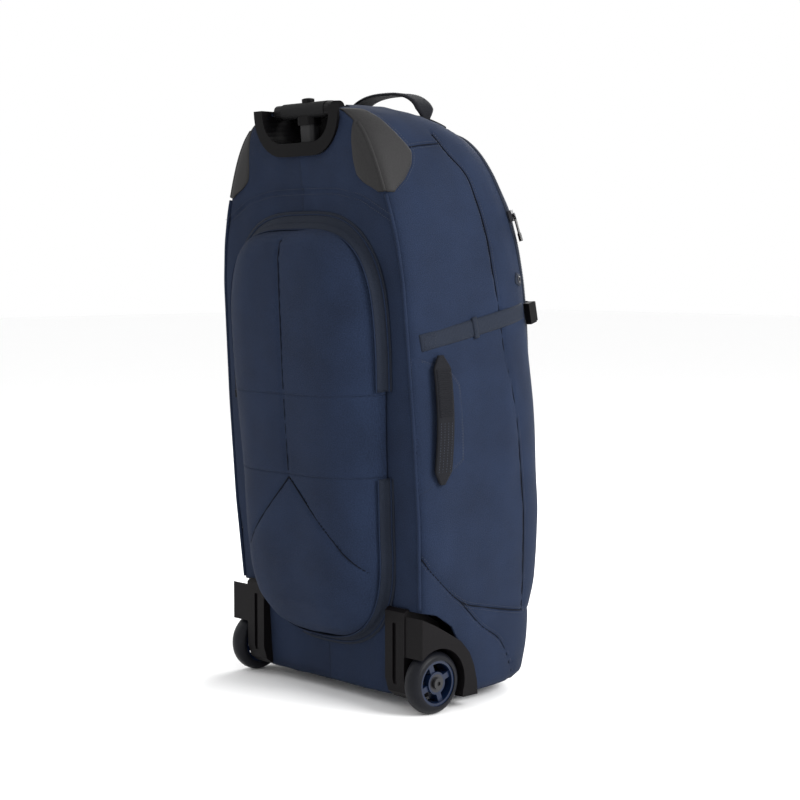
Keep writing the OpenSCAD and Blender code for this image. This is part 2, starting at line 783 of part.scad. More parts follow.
main_shell();
front_lid();
main_zip();
main_zip_slider();
main_zip_puller();
piping();
corner_guards();
frame_sheet();
base_board();
front_feet();
foot_screws();
recess_cup();
pole_outer();
pole_foot();
pole_collar();
pole_middle();
middle_collar();
pole_inner();
grip_core();
grip_sleeve();
grip_caps();
grip_button();
harness_upper_panel();
harness_bridge();
harness_lower_panel();
upper_zip();
lower_zip();
upper_zip_slider();
upper_zip_puller();
lower_zip_slider();
lower_zip_puller();
back_pad();
shoulder_straps();
hip_belt();
housing_left();
housing_right();
housing_screws();
axle_left();
axle_right();
tyre_left();
tyre_right();
hub_left();
hub_right();
bearings_left();
bearings_right();
spacer_left();
spacer_right();
grab_handle();
grab_handle_feet();
side_handle();
side_handle_patch();
strap_left();
strap_right();
buckle_sockets();
buckle_plugs();
strap_keepers();
lid_webbing();
zip_tab();
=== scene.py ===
"""Upright two-wheel trolley bag: looks for the CAD frame. Units are metres, the tables below millimetres."""

import json
import math

import bmesh
import bpy
import numpy as np
from mathutils import Matrix, Vector, kdtree, noise


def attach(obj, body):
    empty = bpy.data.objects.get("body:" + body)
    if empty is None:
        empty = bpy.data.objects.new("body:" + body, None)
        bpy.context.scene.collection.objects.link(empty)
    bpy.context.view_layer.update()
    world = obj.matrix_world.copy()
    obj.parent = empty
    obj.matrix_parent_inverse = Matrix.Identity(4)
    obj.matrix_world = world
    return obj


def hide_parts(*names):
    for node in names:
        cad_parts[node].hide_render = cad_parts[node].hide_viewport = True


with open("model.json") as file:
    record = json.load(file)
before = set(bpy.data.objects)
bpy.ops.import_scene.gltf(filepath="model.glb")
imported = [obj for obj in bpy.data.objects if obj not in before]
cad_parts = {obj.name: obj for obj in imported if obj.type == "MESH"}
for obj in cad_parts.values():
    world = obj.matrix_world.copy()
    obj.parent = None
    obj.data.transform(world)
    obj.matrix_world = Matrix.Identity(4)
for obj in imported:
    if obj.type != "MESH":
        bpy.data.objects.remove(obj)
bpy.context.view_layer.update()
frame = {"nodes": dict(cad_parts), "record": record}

# --- body outline, as in the CAD
SHIFT_Y = -69.0
LEAN = math.radians(4.3)
BACK_Y, LEAN_Z = -20.0, 100.0
BODY_LOW, BODY_TOP = 16.0, 723.0
LID_LOW = 190.0
HALF_W = [(16, 162), (24, 169), (60, 174), (135, 178), (230, 184), (360, 184), (510, 179), (560, 172),
          (600, 161), (640, 147), (665, 137), (687, 125), (703, 110), (714, 93), (723, 62)]
FRONT = [(16, 200), (24, 210), (60, 214), (105, 217), (135, 227), (230, 230), (300, 224), (360, 217),
         (415, 207), (510, 196), (560, 194), (600, 189), (640, 176), (665, 165), (687, 144), (703, 116),
         (714, 88), (723, 48)]
MIDDLE = [(600, 60), (690, 25), (723, -8)]
SQUARE_FRONT = [(640, 3.6), (723, 2.6)]
SQUARE_BACK = [(600, 20), (690, 8), (723, 3)]
LID_LINE = [(190, 214), (354, 205), (509, 164), (580, 147), (643, 136), (690, 124), (740, 112)]
BACK_TAPER = 0.035
WALL = 0.004


def lookup(z, table, spread=0.0):
    """Reads a table of (height, value), rounding its corners off over the spread."""
    heights, values = zip(*table)
    if spread == 0.0:
        return float(np.interp(z, heights, values))
    total, weight = 0.0, 0.0
    for o in np.linspace(-1, 1, 9):
        w = 1.0 - 0.8 * abs(o)
        total += w * np.interp(z + o * spread, heights, values)
        weight += w
    return float(total / weight)


def soft_spread(z):
    return min(14.0, max(2.0, 0.25 * (BODY_TOP - z)), max(2.0, 0.5 * (z - BODY_LOW)))


def back_y(z):
    return BACK_Y - math.tan(LEAN) * (z - LEAN_Z)


def run_along(points):
    """Distance along a polyline to each of its points."""
    return np.r_[0.0, np.cumsum(np.linalg.norm(np.diff(points, axis=0), axis=1))]


def quarter(n, count=140):
    """A unit superellipse from (0, 1) to (1, 0)."""
    first_x = np.linspace(0.0, 2.0 ** (-1.0 / n), count)
    first = np.stack([first_x, (1.0 - first_x**n) ** (1.0 / n)], 1)
    return np.vstack([first, first[::-1, ::-1][1:]])


rings = {}


def half_ring(z):
    """Right half of the outline at one height, from the middle of the back to the middle of the front."""
    key = round(z, 3)
    if key not in rings:
        s = soft_spread(z)
        half, front, mid = lookup(z, HALF_W, s), lookup(z, FRONT, s), lookup(z, MIDDLE, s)
        rear = quarter(lookup(z, SQUARE_BACK, s))
        fore = quarter(lookup(z, SQUARE_FRONT, s))[::-1]
        reach = mid - back_y(z)
        rear_xy = np.stack([half * (1 - BACK_TAPER * rear[:, 1] ** 2) * rear[:, 0], mid - reach * rear[:, 1]], 1)
        fore_xy = np.stack([half * fore[:, 0], mid + (front - mid) * fore[:, 1]], 1)
        xy = np.vstack([rear_xy, fore_xy[1:]])
        run = run_along(xy)
        corner = run[len(quarter(3)) // 2]
        widest = run[len(rear_xy) - 1]
        lid_y = min(lookup(z, LID_LINE), xy[-1, 1])
        lid = float(np.interp(lid_y, xy[len(rear_xy) - 1:, 1], run[len(rear_xy) - 1:]))
        rings[key] = xy, run, corner, widest, lid
    return rings[key]


def at_run(z, s):
    """Point and outward normal at a distance s along the half ring at height z, in world millimetres."""
    def spot(zz, ss):
        xy, run, *_ = half_ring(zz)
        x, y = np.interp(ss, run, xy[:, 0]), np.interp(ss, run, xy[:, 1])
        return np.array([x, y, zz])
    p = spot(z, s)
    along = spot(z, s + 2.0) - spot(z, s - 2.0)
    low, high = max(z - 3.0, BODY_LOW), min(z + 3.0, BODY_TOP)
    up = spot(high, s + run_shift(high, z)) - spot(low, s + run_shift(low, z))
    n = np.cross(along, up)
    return p + [0, SHIFT_Y, 0], n / max(np.linalg.norm(n), 1e-9)


def run_shift(z_to, z_from):
    """How far the corner moves along the ring between two heights."""
    return half_ring(z_to)[2] - half_ring(z_from)[2]


def on_side(y, z):
    """Point on the right side or front quarter at depth y (axle frame)."""
    xy, run, corner, *_ = half_ring(z)
    keep = run >= corner
    return at_run(z, float(np.interp(y, xy[keep, 1], run[keep])))


def on_rear(x, z):
    """Point on the back panel."""
    p = np.array([x, back_y(z) + SHIFT_Y, z])
    return p, np.array([0.0, -math.cos(LEAN), -math.sin(LEAN)])


def on_front(x, z):
    """Point on the front half at |x|."""
    xy, run, _, widest, _ = half_ring(z)
    keep = run >= widest
    return at_run(z, float(np.interp(-abs(x), -xy[keep, 0], run[keep])))


def from_back(x, out, up):
    """A point given in the back panel's own frame: out of the panel, and up along it from LEAN_Z."""
    y = BACK_Y - out * math.cos(LEAN) - up * math.sin(LEAN) + SHIFT_Y
    z = LEAN_Z - out * math.sin(LEAN) + up * math.cos(LEAN)
    return np.array([x, y, z])


# --- mesh helpers
def new_mesh(name, verts_mm, faces, uvs=None, smooth=True):
    """A mesh object from millimetre points. uvs is one (u, v) in metres for each vertex."""
    mesh = bpy.data.meshes.new(name)
    points = [tuple(v) for v in np.asarray(verts_mm, float) / 1000.0]
    mesh.from_pydata(points, [], [tuple(int(i) for i in f) for f in faces])
    mesh.validate()
    obj = bpy.data.objects.new(name, mesh)
    bpy.context.scene.collection.objects.link(obj)
    if uvs is not None:
        layer = mesh.uv_layers.new(name="UVMap")
        uvs = np.asarray(uvs, float)
        loops = np.zeros(len(mesh.loops), np.int32)
        mesh.loops.foreach_get("vertex_index", loops)
        layer.data.foreach_set("uv", uvs[loops].ravel())
    if smooth:
        mesh.polygons.foreach_set("use_smooth", [True] * len(mesh.polygons))
    mesh.update()
    return obj


def grid_faces(rows, cols, flip=False, wrap=False):
    faces = []
    for r in range(rows - 1):
        for c in range(cols if wrap else cols - 1):
            d = (c + 1) % cols
            quad = (r * cols + c, r * cols + d, (r + 1) * cols + d, (r + 1) * cols + c)
            faces.append(quad[::-1] if flip else quad)
    return faces


def edited(obj, change):
    """Runs a change on a mesh as a bmesh."""
    bm = bmesh.new()
    bm.from_mesh(obj.data)
    change(bm)
    bm.to_mesh(obj.data)
    bm.free()
    return obj


def facing_out(obj):
    """Turns a closed mesh's faces outward."""
    return edited(obj, lambda bm: bmesh.ops.recalc_face_normals(bm, faces=bm.faces))


def mirrored(points):
    return np.asarray(points) * np.array([-1.0, 1.0, 1.0])


def both_sides(q, m, mirror=True):
    """A path with its normals on the right, and its mirror image on the left."""
    return [(q, m), (mirrored(q), mirrored(m))][:2 if mirror else 1]


def strip(name, points, normals, thick, sunk=0.6, mirror=False, round_ends=True):
    """Raised band on a grid of points (along, across, 3), with rounded edges and closed below."""
    p, n = np.asarray(points, float), np.asarray(normals, float)
    if mirror:
        p, n = mirrored(p), mirrored(n)
    rows, cols = p.shape[:2]
    across = np.ones(cols)
    across[[0, -1]] = 0.25
    if cols > 4:
        across[[1, -2]] = 0.85
    along = np.ones(rows)
    if round_ends:
        along[[0, -1]] = 0.3
    top = p + n * (thick * across[None, :, None] * along[:, None, None])
    low = p - n * sunk
    verts = np.vstack([top.reshape(-1, 3), low.reshape(-1, 3)])
    k = rows * cols
    faces = grid_faces(rows, cols) + [tuple(k + i for i in f[::-1]) for f in grid_faces(rows, cols)]
    edge = [c for c in range(cols)] + [r * cols + cols - 1 for r in range(1, rows)]
    edge += [(rows - 1) * cols + c for c in range(cols - 2, -1, -1)] + [r * cols for r in range(rows - 2, 0, -1)]
    for i, j in zip(edge, edge[1:] + edge[:1]):
        faces.append((j, i, k + i, k + j))
    step_a = run_along(p[:, cols // 2])
    step_c = run_along(p[rows // 2])
    uv = np.stack(np.meshgrid(step_c, step_a), -1).reshape(-1, 2) / 1000.0
    return facing_out(new_mesh(name, verts, faces, np.vstack([uv, uv])))


def resample(points, pitch):
    """Evenly spaced points along a polyline, with its normals carried along."""
    p = np.asarray([a for a, _ in points], float)
    n = np.asarray([b for _, b in points], float)
    run = run_along(p)
    count = max(2, int(run[-1] / pitch) + 1)
    s = np.linspace(0.0, run[-1], count)
    q = np.stack([np.interp(s, run, p[:, k]) for k in range(3)], 1)
    m = np.stack([np.interp(s, run, n[:, k]) for k in range(3)], 1)
    return q, m / np.linalg.norm(m, axis=1)[:, None]


def smooth_path(pairs, step=4.0):
    """Catmull-Rom curve through 2-D points."""
    p = np.asarray(pairs, float)
    p = np.vstack([2 * p[0] - p[1], p, 2 * p[-1] - p[-2]])
    out = []
    for i in range(1, len(p) - 2):
        count = max(2, int(np.linalg.norm(p[i + 1] - p[i]) / step))
        for t in np.linspace(0.0, 1.0, count, endpoint=False):
            first, second = p[i + 1] - p[i - 1], 2 * p[i - 1] - 5 * p[i] + 4 * p[i + 1] - p[i + 2]
            third = 3 * p[i] - p[i - 1] - 3 * p[i + 1] + p[i + 2]
            out.append(0.5 * (2 * p[i] + first * t + second * t * t + third * t**3))
    out.append(p[-2])
    return out


def directions(centres, normals):
    """Unit directions along a path, and across it on its surface."""
    tangent = np.gradient(centres, axis=0)
    tangent /= np.maximum(np.linalg.norm(tangent, axis=1), 1e-9)[:, None]
    return tangent, np.cross(normals, tangent)


def blocks(name, centres, normals, size, offset=0.0, lift=0.0):
    """Small rounded blocks along a path: size is (along, across, high); offset moves them sideways."""
    tangent, side = directions(centres, normals)
    shape = [(-.5, -.32, 0), (-.32, .5, 0), (.32, .5, 0), (.5, -.32, 0),
             (-.3, -.2, 1), (-.2, .3, 1), (.2, .3, 1), (.3, -.2, 1)]
    corners = ((4, 7, 6, 5), (0, 4, 5, 1), (1, 5, 6, 2), (2, 6, 7, 3), (3, 7, 4, 0))
    verts, faces = [], []
    for c, t, b, n in zip(np.asarray(centres), tangent, side, np.asarray(normals)):
        base = len(verts)
        for a, w, h in shape:
            verts.append(c + t * a * size[0] + b * (w * size[1] + offset) + n * (h * size[2] + lift))
        faces += [tuple(base + i for i in f) for f in corners]
    return new_mesh(name, verts, faces)


def tube(name, centres, normals, radius, sides=8, lift=0.0):
    """Round cord along a path."""
    tangent, side = directions(centres, normals)
    side /= np.maximum(np.linalg.norm(side, axis=1), 1e-9)[:, None]
    up = np.cross(tangent, side)
    verts, uv = [], []
    for c, n, b, s in zip(np.asarray(centres), up, side, run_along(centres)):
        for k in range(sides):
            a = 2 * math.pi * k / sides
            verts.append(c + n * lift + radius * (math.cos(a) * b + math.sin(a) * n))
            uv.append((k / sides * radius * 0.0063, s / 1000.0))
    faces = grid_faces(len(centres), sides, wrap=True)
    last = (len(centres) - 1) * sides
    faces += [tuple(range(sides))[::-1], tuple(last + k for k in range(sides))]
    return facing_out(new_mesh(name, verts, faces, uv))


def join(name, objs):
    """Joins meshes that ride on one body into one piece."""
    bpy.ops.object.select_all(action="DESELECT")
    for o in objs:
        o.select_set(True)
    bpy.context.view_layer.objects.active = objs[0]
    bpy.ops.object.join()
    objs[0].name = name
    objs[0].data.name = name
    return objs[0]


def apply_modifiers(obj):
    bpy.context.view_layer.update()
    done = obj.evaluated_get(bpy.context.evaluated_depsgraph_get())
    mesh = bpy.data.meshes.new_from_object(done)
    obj.modifiers.clear()
    obj.data = mesh
    return obj


def shift_normals(obj, amounts_mm):
    """Moves each vertex along its normal."""
    mesh = obj.data
    co = np.zeros(len(mesh.vertices) * 3)
    mesh.vertices.foreach_get("co", co)
    no = np.array([v.normal[:] for v in mesh.vertices])
    co = co.reshape(-1, 3) + no * (np.asarray(amounts_mm)[:, None] / 1000.0)
    mesh.vertices.foreach_set("co", co.ravel())
    mesh.update()


def distances(obj, lines):
    """Distance of every vertex from the nearest of some polylines, in millimetres."""
    points = np.vstack(lines)
    tree = kdtree.KDTree(len(points))
    for i, p in enumerate(points):
        tree.insert(Vector(p / 1000.0), i)
    tree.balance()
    return np.array([tree.find(v.co)[2] for v in obj.data.vertices]) * 1000.0


def creases(obj, lines, depth=2.0, width=2.6, pull=2.0, reach=24.0):
    """Sewn seams: a narrow groove, and cloth drawn in around it."""
    d = distances(obj, lines)
    shift_normals(obj, -depth * np.exp(-((d / width) ** 2)) - pull * np.exp(-d / reach))


def ripples(obj, height, scale=(14.0, 14.0, 6.0), seed=0.0, keep=None):
    """Soft unevenness of a filled fabric wall."""
    amounts = []
    for i, v in enumerate(obj.data.vertices):
        q = Vector((v.co.x * scale[0], v.co.y * scale[1], v.co.z * scale[2])) + Vector((seed, 0, 0))
        amounts.append(height * (noise.noise(q) + 0.45 * noise.noise(q * 2.3)))
    amounts = np.array(amounts)
    shift_normals(obj, amounts if keep is None else amounts * keep)


# --- materials
def textured(name, colour, rough, grain, bump, vary=0.12, metallic=0.0, sheen=0.0, coat=0.0, spec=0.5,
             weave=None, blotch=18.0, use_uv=False):
    """Principled material whose colour, roughness and bump come from noise, with a weave where asked."""
    mat = bpy.data.materials.new(name)
    mat.use_nodes = True
    tree = mat.node_tree
    shader = tree.nodes["Principled BSDF"]

    def feed(node, inputs):
        """Sets a node's inputs to numbers, or links them to other nodes' outputs."""
        for key, value in inputs.items():
            if isinstance(value, bpy.types.NodeSocket):
                tree.links.new(value, node.inputs[key])
            else:
                node.inputs[key].default_value = value

    def add(kind, inputs, operation=None):
        node = tree.nodes.new("ShaderNode" + kind)
        if operation:
            node.operation = operation
        feed(node, inputs)
        return node

    place = tree.nodes.new("ShaderNodeTexCoord")
    coords = place.outputs["UV" if use_uv else "Object"]
    fine = add("TexNoise", {"Scale": grain, "Detail": 3.0, "Vector": coords}).outputs["Fac"]
    broad = add("TexNoise", {"Scale": blotch, "Detail": 4.0, "Vector": place.outputs["Object"]}).outputs["Fac"]
    half = add("Math", {0: broad, 1: 0.4}, "MULTIPLY").outputs[0]
    mixed = add("Math", {0: fine, 1: 0.6, 2: half}, "MULTIPLY_ADD").outputs[0]
    ramp = add("ValToRGB", {"Fac": mixed})
    for end, position, sign in zip(ramp.color_ramp.elements, (0.3, 0.7), (-1, 1)):
        end.position = position
        end.color = [min(1.0, c * (1 + sign * vary)) for c in colour] + [1]
    rough_map = add("MapRange", {"To Min": rough - 0.06, "To Max": rough + 0.06, "Value": broad})
    height = fine
    if weave:
        threads = []
        for axis, pitch in zip("XY", weave):
            wave = add("TexWave", {"Scale": 2 * math.pi / (20.0 * pitch), "Distortion": 0.15, "Vector": coords})
            wave.wave_type = "BANDS"
            wave.bands_direction = axis
            threads.append(wave.outputs["Fac"])
        crossed = add("Math", dict(enumerate(threads)), "MULTIPLY").outputs[0]
        height = add("Math", {0: crossed, 1: 0.7, 2: fine}, "MULTIPLY_ADD").outputs[0]
    relief = add("Bump", {"Strength": bump, "Distance": 0.0006, "Height": height})
    feed(shader, {"Base Color": ramp.outputs["Color"], "Roughness": rough_map.outputs["Result"],
                  "Normal": relief.outputs["Normal"], "Metallic": metallic, "Sheen Weight": sheen,
                  "Sheen Roughness": 0.5, "Coat Weight": coat, "Specular IOR Level": spec})
    return mat


NAVY = (0.0115, 0.0190, 0.0415)
FABRIC_WEAVE, WEBBING_WEAVE = (0.0011, 0.0011), (0.0016, 0.0022)
PAD_WEAVE, LINING_WEAVE = (0.004, 0.004), (0.002, 0.002)
FINISHES = {
    "navy_fabric": (NAVY, 0.85, 700, 0.9, 0.34, dict(sheen=0.01, spec=0.1, weave=FABRIC_WEAVE, use_uv=True)),
    "charcoal_webbing": ((0.0115, 0.0155, 0.026), 0.75, 900, 0.7, 0.2,
                         dict(sheen=0.01, spec=0.12, weave=WEBBING_WEAVE, use_uv=True)),
    "black_webbing": ((0.0062, 0.0066, 0.009), 0.7, 900, 0.7, 0.2,
                      dict(sheen=0.01, spec=0.1, weave=WEBBING_WEAVE, use_uv=True)),
    "guard": ((0.019, 0.0185, 0.019), 0.62, 420, 0.45, 0.14, dict(spec=0.14)),
    "black_plastic": ((0.0026, 0.0024, 0.0028), 0.34, 700, 0.12, 0.15, dict(spec=0.06)),
    "dark_plastic": ((0.0042, 0.0036, 0.0042), 0.5, 800, 0.3, 0.15, dict(spec=0.08)),
    "soft_grip": ((0.0035, 0.0035, 0.004), 0.6, 500, 0.3, 0.15, dict(spec=0.12)),
    "tyre_rubber": ((0.0045, 0.005, 0.0075), 0.45, 300, 0.2, 0.2, dict(spec=0.14)),
    "hub_blue": ((0.0035, 0.0095, 0.030), 0.28, 300, 0.05, 0.1, dict(coat=0.05, spec=0.3)),
    "tube_metal": ((0.2, 0.205, 0.215), 0.36, 500, 0.06, 0.05, dict(metallic=0.9)),
    "dark_tube": ((0.008, 0.008, 0.009), 0.4, 500, 0.08, 0.1, dict(spec=0.2)),
    "steel": ((0.05, 0.05, 0.055), 0.35, 500, 0.05, 0.1, dict(metallic=1.0)),
    "black_steel": ((0.02, 0.02, 0.022), 0.38, 400, 0.08, 0.1, dict(metallic=0.4)),
    "zip_metal": ((0.035, 0.035, 0.04), 0.35, 500, 0.08, 0.1, dict(metallic=0.7)),
    "board": ((0.5, 0.5, 0.47), 0.6, 300, 0.15, 0.05, {}),
    "foam": ((0.035, 0.036, 0.04), 0.85, 500, 0.8, 0.2, dict(sheen=0.1, weave=PAD_WEAVE)),
}
MATERIALS = {name: textured(name, *values[:-1], **values[-1]) for name, values in FINISHES.items()}
LINING = textured("lining", (0.09, 0.095, 0.11), 0.8, 900, 0.4, 0.12, sheen=0.1, spec=0.2,
                  weave=LINING_WEAVE, use_uv=True)
# Near-black navy for the tubes sunk in the seam grooves: painted shade along the seams, not a colour of the bag
SEAM_SHADE = textured("seam", (0.0025, 0.004, 0.009), 0.8, 900, 0.2, 0.15, spec=0.1)
THREAD = textured("thread", (0.0095, 0.0155, 0.034), 0.6, 900, 0.2, 0.15)


def finish_piece(obj, slot, body, *nodes, extra=None):
    obj.data.materials.clear()
    obj.data.materials.append(MATERIALS[slot] if extra is None else extra)
    if nodes:
        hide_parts(*nodes)
    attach(obj, body)
    return obj


# --- the fabric body
REAR_COLS, SIDE_COLS, LID_COLS = 66, 34, 44
ROW_STEP = 3.6
half_cols = REAR_COLS + SIDE_COLS + LID_COLS
low_rows = list(np.linspace(BODY_LOW, LID_LOW, 50))
high_rows = list(np.linspace(LID_LOW, BODY_TOP, int((BODY_TOP - LID_LOW) / ROW_STEP)))[1:]
row_z = low_rows + high_rows


def ring_stations(z):
    _, run, _, widest, lid = half_ring(z)
    return np.r_[np.linspace(0, widest, REAR_COLS, endpoint=False),
                 np.linspace(widest, lid, SIDE_COLS, endpoint=False), np.linspace(lid, run[-1], LID_COLS + 1)]


def body_row(z):
    xy, run, *_ = half_ring(z)
    s = ring_stations(z)
    x, y = np.interp(s, run, xy[:, 0]), np.interp(s, run, xy[:, 1]) + SHIFT_Y
    right = np.stack([x, y, np.full(len(s), z)], 1)
    left = mirrored(right[1:-1][::-1])
    around = np.r_[s, 2 * run[-1] - s[1:-1][::-1]]
    return np.vstack([right, left]), around


def cap_rows(z, rise, count=9):
    """Rings that close the body at its top or bottom."""
    edge, around = body_row(z)
    centre = edge.mean(axis=0)
    out = []
    for k in range(1, count + 1):
        f = 1.0 - k / count * 0.985
        ring = centre + (edge - centre) * f
        ring[:, 2] = z + rise * (1.0 - f * f)
        out.append((ring, around * f))
    return out


CAP_V = 0.01


def body_grid():
    rows = [body_row(z) for z in row_z]
    low, high = cap_rows(BODY_LOW, -0.6)[::-1], cap_rows(BODY_TOP, 1.2)
    every = low + rows + high
    first = len(low)
    verts = np.vstack([r for r, _ in every])
    uv = []
    for i, (ring, around) in enumerate(every):
        past_end = i - first if i < first else max(0, i - first - len(rows))
        v = row_z[min(max(i - first, 0), len(rows) - 1)] / 1000.0 + past_end * CAP_V
        uv += [(a / 1000.0, v) for a in around]
    return verts, uv, len(every), first


body_verts, body_uv, row_count, first_row = body_grid()
cols = 2 * half_cols
lid_first = first_row + len(low_rows) - 1
lid_last = first_row + len(row_z) - 1
lid_columns = set(range(REAR_COLS + SIDE_COLS, REAR_COLS + SIDE_COLS + 2 * LID_COLS))
main_faces, lid_faces = [], []
for quad in grid_faces(row_count, cols, wrap=True):
    r, c = divmod(quad[0], cols)
    is_lid = lid_first <= r < lid_last and c in lid_columns
    (lid_faces if is_lid else main_faces).append(quad)
for start, flip in ((0, True), ((row_count - 1) * cols, False)):
    ring = tuple(range(start, start + cols))
    main_faces.append(ring[::-1] if flip else ring)


def trimmed(name, faces):
    """The body's grid with only these faces, without doubled points."""
    def prune(bm):
        bmesh.ops.delete(bm, geom=[v for v in bm.verts if not v.link_faces], context="VERTS")
        bmesh.ops.remove_doubles(bm, verts=bm.verts, dist=1e-5)
    return edited(new_mesh(name, body_verts, faces, body_uv), prune)


# Seams on the body, as (depth, height) on the side and (across, height) on the back panel, axle frame
GUSSET_SEAM = [(44, 690), (56, 668), (78, 642), (85, 610), (90, 569), (94, 523), (101, 480), (111, 421),
               (122, 389), (134, 337), (143, 270), (149, 215), (153, 165), (156, 104)]
LOW_SEAM = [(-23, 188), (-5, 168), (39, 131), (84, 118), (156, 104), (196, 101)]
WHEEL_SEAM = [(39, 131), (76, 97), (111, 74), (138, 35), (144, 18)]
TOP_SEAM = [(-4, 672), (22, 676), (50, 679)]
ARCH_SEAM = [(0, 621), (56, 620), (82, 616), (105, 611), (128, 600), (154, 587)]


def side_line(pairs):
    return [on_side(y, z) for y, z in smooth_path(pairs)]


def rear_line(pairs):
    return [on_rear(x, z) for x, z in smooth_path(pairs)]


side_seams = [side_line(s) for s in (GUSSET_SEAM, LOW_SEAM, WHEEL_SEAM, TOP_SEAM)]
rear_seams = [rear_line(ARCH_SEAM)]


def both(lines):
    """Points of these lines on both sides of the bag."""
    out = []
    for line in lines:
        p = np.array([a for a, _ in line])
        out += [p, mirrored(p)]
    return out


def edge_line(z0, z1, where):
    return [at_run(z, half_ring(z)[where]) for z in np.arange(z0, z1, 4.0)]


CORNER, LID = 2, 4
corner_edge = edge_line(30, 716, CORNER)
lid_edge = edge_line(LID_LOW, 700, LID)
all_lines = both(side_seams + rear_seams)


def relaxed(obj, seed):
    creases(obj, all_lines)
    d = distances(obj, both([corner_edge, lid_edge]))
    ripples(obj, 2.0, seed=seed, keep=np.clip(d / 30.0, 0.0, 1.0))
    return obj


# Housing cut-outs and the recess
CUT_X = 115.6
CUT_OUT = [(-60, 0), (-60, 124), (-24, 124), (1, 118.6), (26, 102), (36, 84), (49.5, 69), (58, 52),
           (63, 32), (64, 0)]
NEAR_X, NEAR_Y, NEAR_Z = 0.1, 0.01, 0.14
CUP_HALF, CUP_FLOOR, CUP_CORNER, CUP_DEEP, CUP_PLAY = 62.0, 581.0, 34.0, 44.0, 3.0


def inside_polygon(y, z, outline):
    hit = False
    for (y1, z1), (y2, z2) in zip(outline, outline[1:] + outline[:1]):
        if (z1 > z) != (z2 > z) and y < (y2 - y1) * (z - z1) / (z2 - z1) + y1:
            hit = not hit
    return hit


def in_recess(co):
    x, y, z = abs(co.x * 1000), co.y * 1000 - SHIFT_Y, co.z * 1000
    up = (z - LEAN_Z) * math.cos(LEAN) - (y - BACK_Y) * math.sin(LEAN)
    deep = (y - BACK_Y) * math.cos(LEAN) + (z - LEAN_Z) * math.sin(LEAN)
    if deep > CUP_DEEP or up < CUP_FLOOR - CUP_PLAY or x > CUP_HALF + CUP_PLAY:
        return False
    dx, du = x - (CUP_HALF - CUP_CORNER), CUP_FLOOR + CUP_CORNER - up
    return not (dx > 0 and du > 0 and math.hypot(dx, du) > CUP_CORNER + CUP_PLAY)


def near_housing(c):
    return abs(c.x) > NEAR_X and c.y < NEAR_Y and c.z < NEAR_Z


def cut_openings(bm):
    """Cuts the housings' notches and the recess out of the body."""
    planes = []
    for (y1, z1), (y2, z2) in zip(CUT_OUT[1:-1], CUT_OUT[2:]):
        a = Vector((0, (y1 + SHIFT_Y) / 1000, z1 / 1000))
        along = Vector((0, y2 - y1, z2 - z1)).normalized()
        planes.append((a, Vector((0, -along.z, along.y))))
    for s in (-1, 1):
        planes.append((Vector((s * CUT_X / 1000, 0, 0)), Vector((1, 0, 0))))
    for co, no in planes:
        near = [f for f in bm.faces if near_housing(f.calc_center_median())]
        geom = list({v for f in near for v in f.verts}) + list({e for f in near for e in f.edges}) + near
        bmesh.ops.bisect_plane(bm, geom=geom, plane_co=co, plane_no=no, dist=1e-6)
    gone = []
    for f in bm.faces:
        c = f.calc_center_median()
        in_cut = abs(c.x) * 1000 > CUT_X and inside_polygon(c.y * 1000 - SHIFT_Y, c.z * 1000, CUT_OUT)
        if in_cut or in_recess(c):
            gone.append(f)
    bmesh.ops.delete(bm, geom=gone, context="FACES")


def walled(obj, thickness, lining=LINING):
    obj.data.materials.append(lining)
    solid = obj.modifiers.new("wall", "SOLIDIFY")
    solid.thickness = thickness
    solid.offset = -1.0
    solid.material_offset = 1
    solid.use_even_offset = False
    return apply_modifiers(obj)


def fabric_piece(obj, slot, body, *nodes, thickness=WALL, fill=0.7):
    obj.data.materials.clear()
    obj.data.materials.append(MATERIALS[slot])
    walled(obj, thickness)
    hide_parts(*nodes)
    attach(obj, body)
    return obj


body_fabric = edited(relaxed(trimmed("body_fabric", main_faces), 0.0), cut_openings)
fabric_piece(body_fabric, "navy_fabric", "bag", "main_shell")
fabric_piece(relaxed(trimmed("lid_fabric", lid_faces), 7.0), "navy_fabric", "lid", "front_lid")

# --- harness cover
LOW_MID, LOW_HALF, LOW_REACH, LOW_N = 110.0, 124.0, 134.0, 2.7
HIGH_MID, HIGH_HALF, HIGH_REACH, HIGH_N = 330.0, 136.0, 149.0, 3.3
UPPER_END, LOWER_END, LAY = 282.0, 184.0, 0.1
RISE = [(-24, 1), (-20, 18), (-5, 37), (24, 49), (80, 54), (172, 48.5), (294, 48.5), (390, 46), (446, 44),
        (466, 39), (475, 28), (479, 1)]
COVER_LIFT = 2.5


def round_end(d, n):
    return max(0.0, 1.0 - max(0.0, d) ** n) ** (1.0 / n)


def cover_half(up):
    half = float(np.interp(up, (LOW_MID, HIGH_MID), (LOW_HALF, HIGH_HALF)))
    low_end = round_end((LOW_MID - up) / LOW_REACH, LOW_N)
    return half * low_end * round_end((up - HIGH_MID) / HIGH_REACH, HIGH_N)


def cover_out(u, up):
    rise = lookup(up, RISE, 4.0)
    return COVER_LIFT + rise * (1.0 - abs(u) ** 3.6) ** 0.6


def cover_point(x, up):
    half = max(cover_half(up), 1.0)
    return from_back(x, cover_out(min(1.0, abs(x) / half), up), up)


def cover_points(up, count=96):
    us = np.sin(np.linspace(-0.5, 0.5, count) * math.pi)
    half = cover_half(up)
    return [from_back(u * half, cover_out(u, up), up) for u in us]


def up_along(p):
    """Distance of a world point up the back panel."""
    return (p[2] - LEAN_Z) * math.cos(LEAN) - (p[1] - SHIFT_Y - BACK_Y) * math.sin(LEAN)


V_SEAM = [(0, 180), (76, 107), (88, 93), (112, 70)]
CENTRE_SEAM = [(0, 180), (0, 300), (0, 468)]


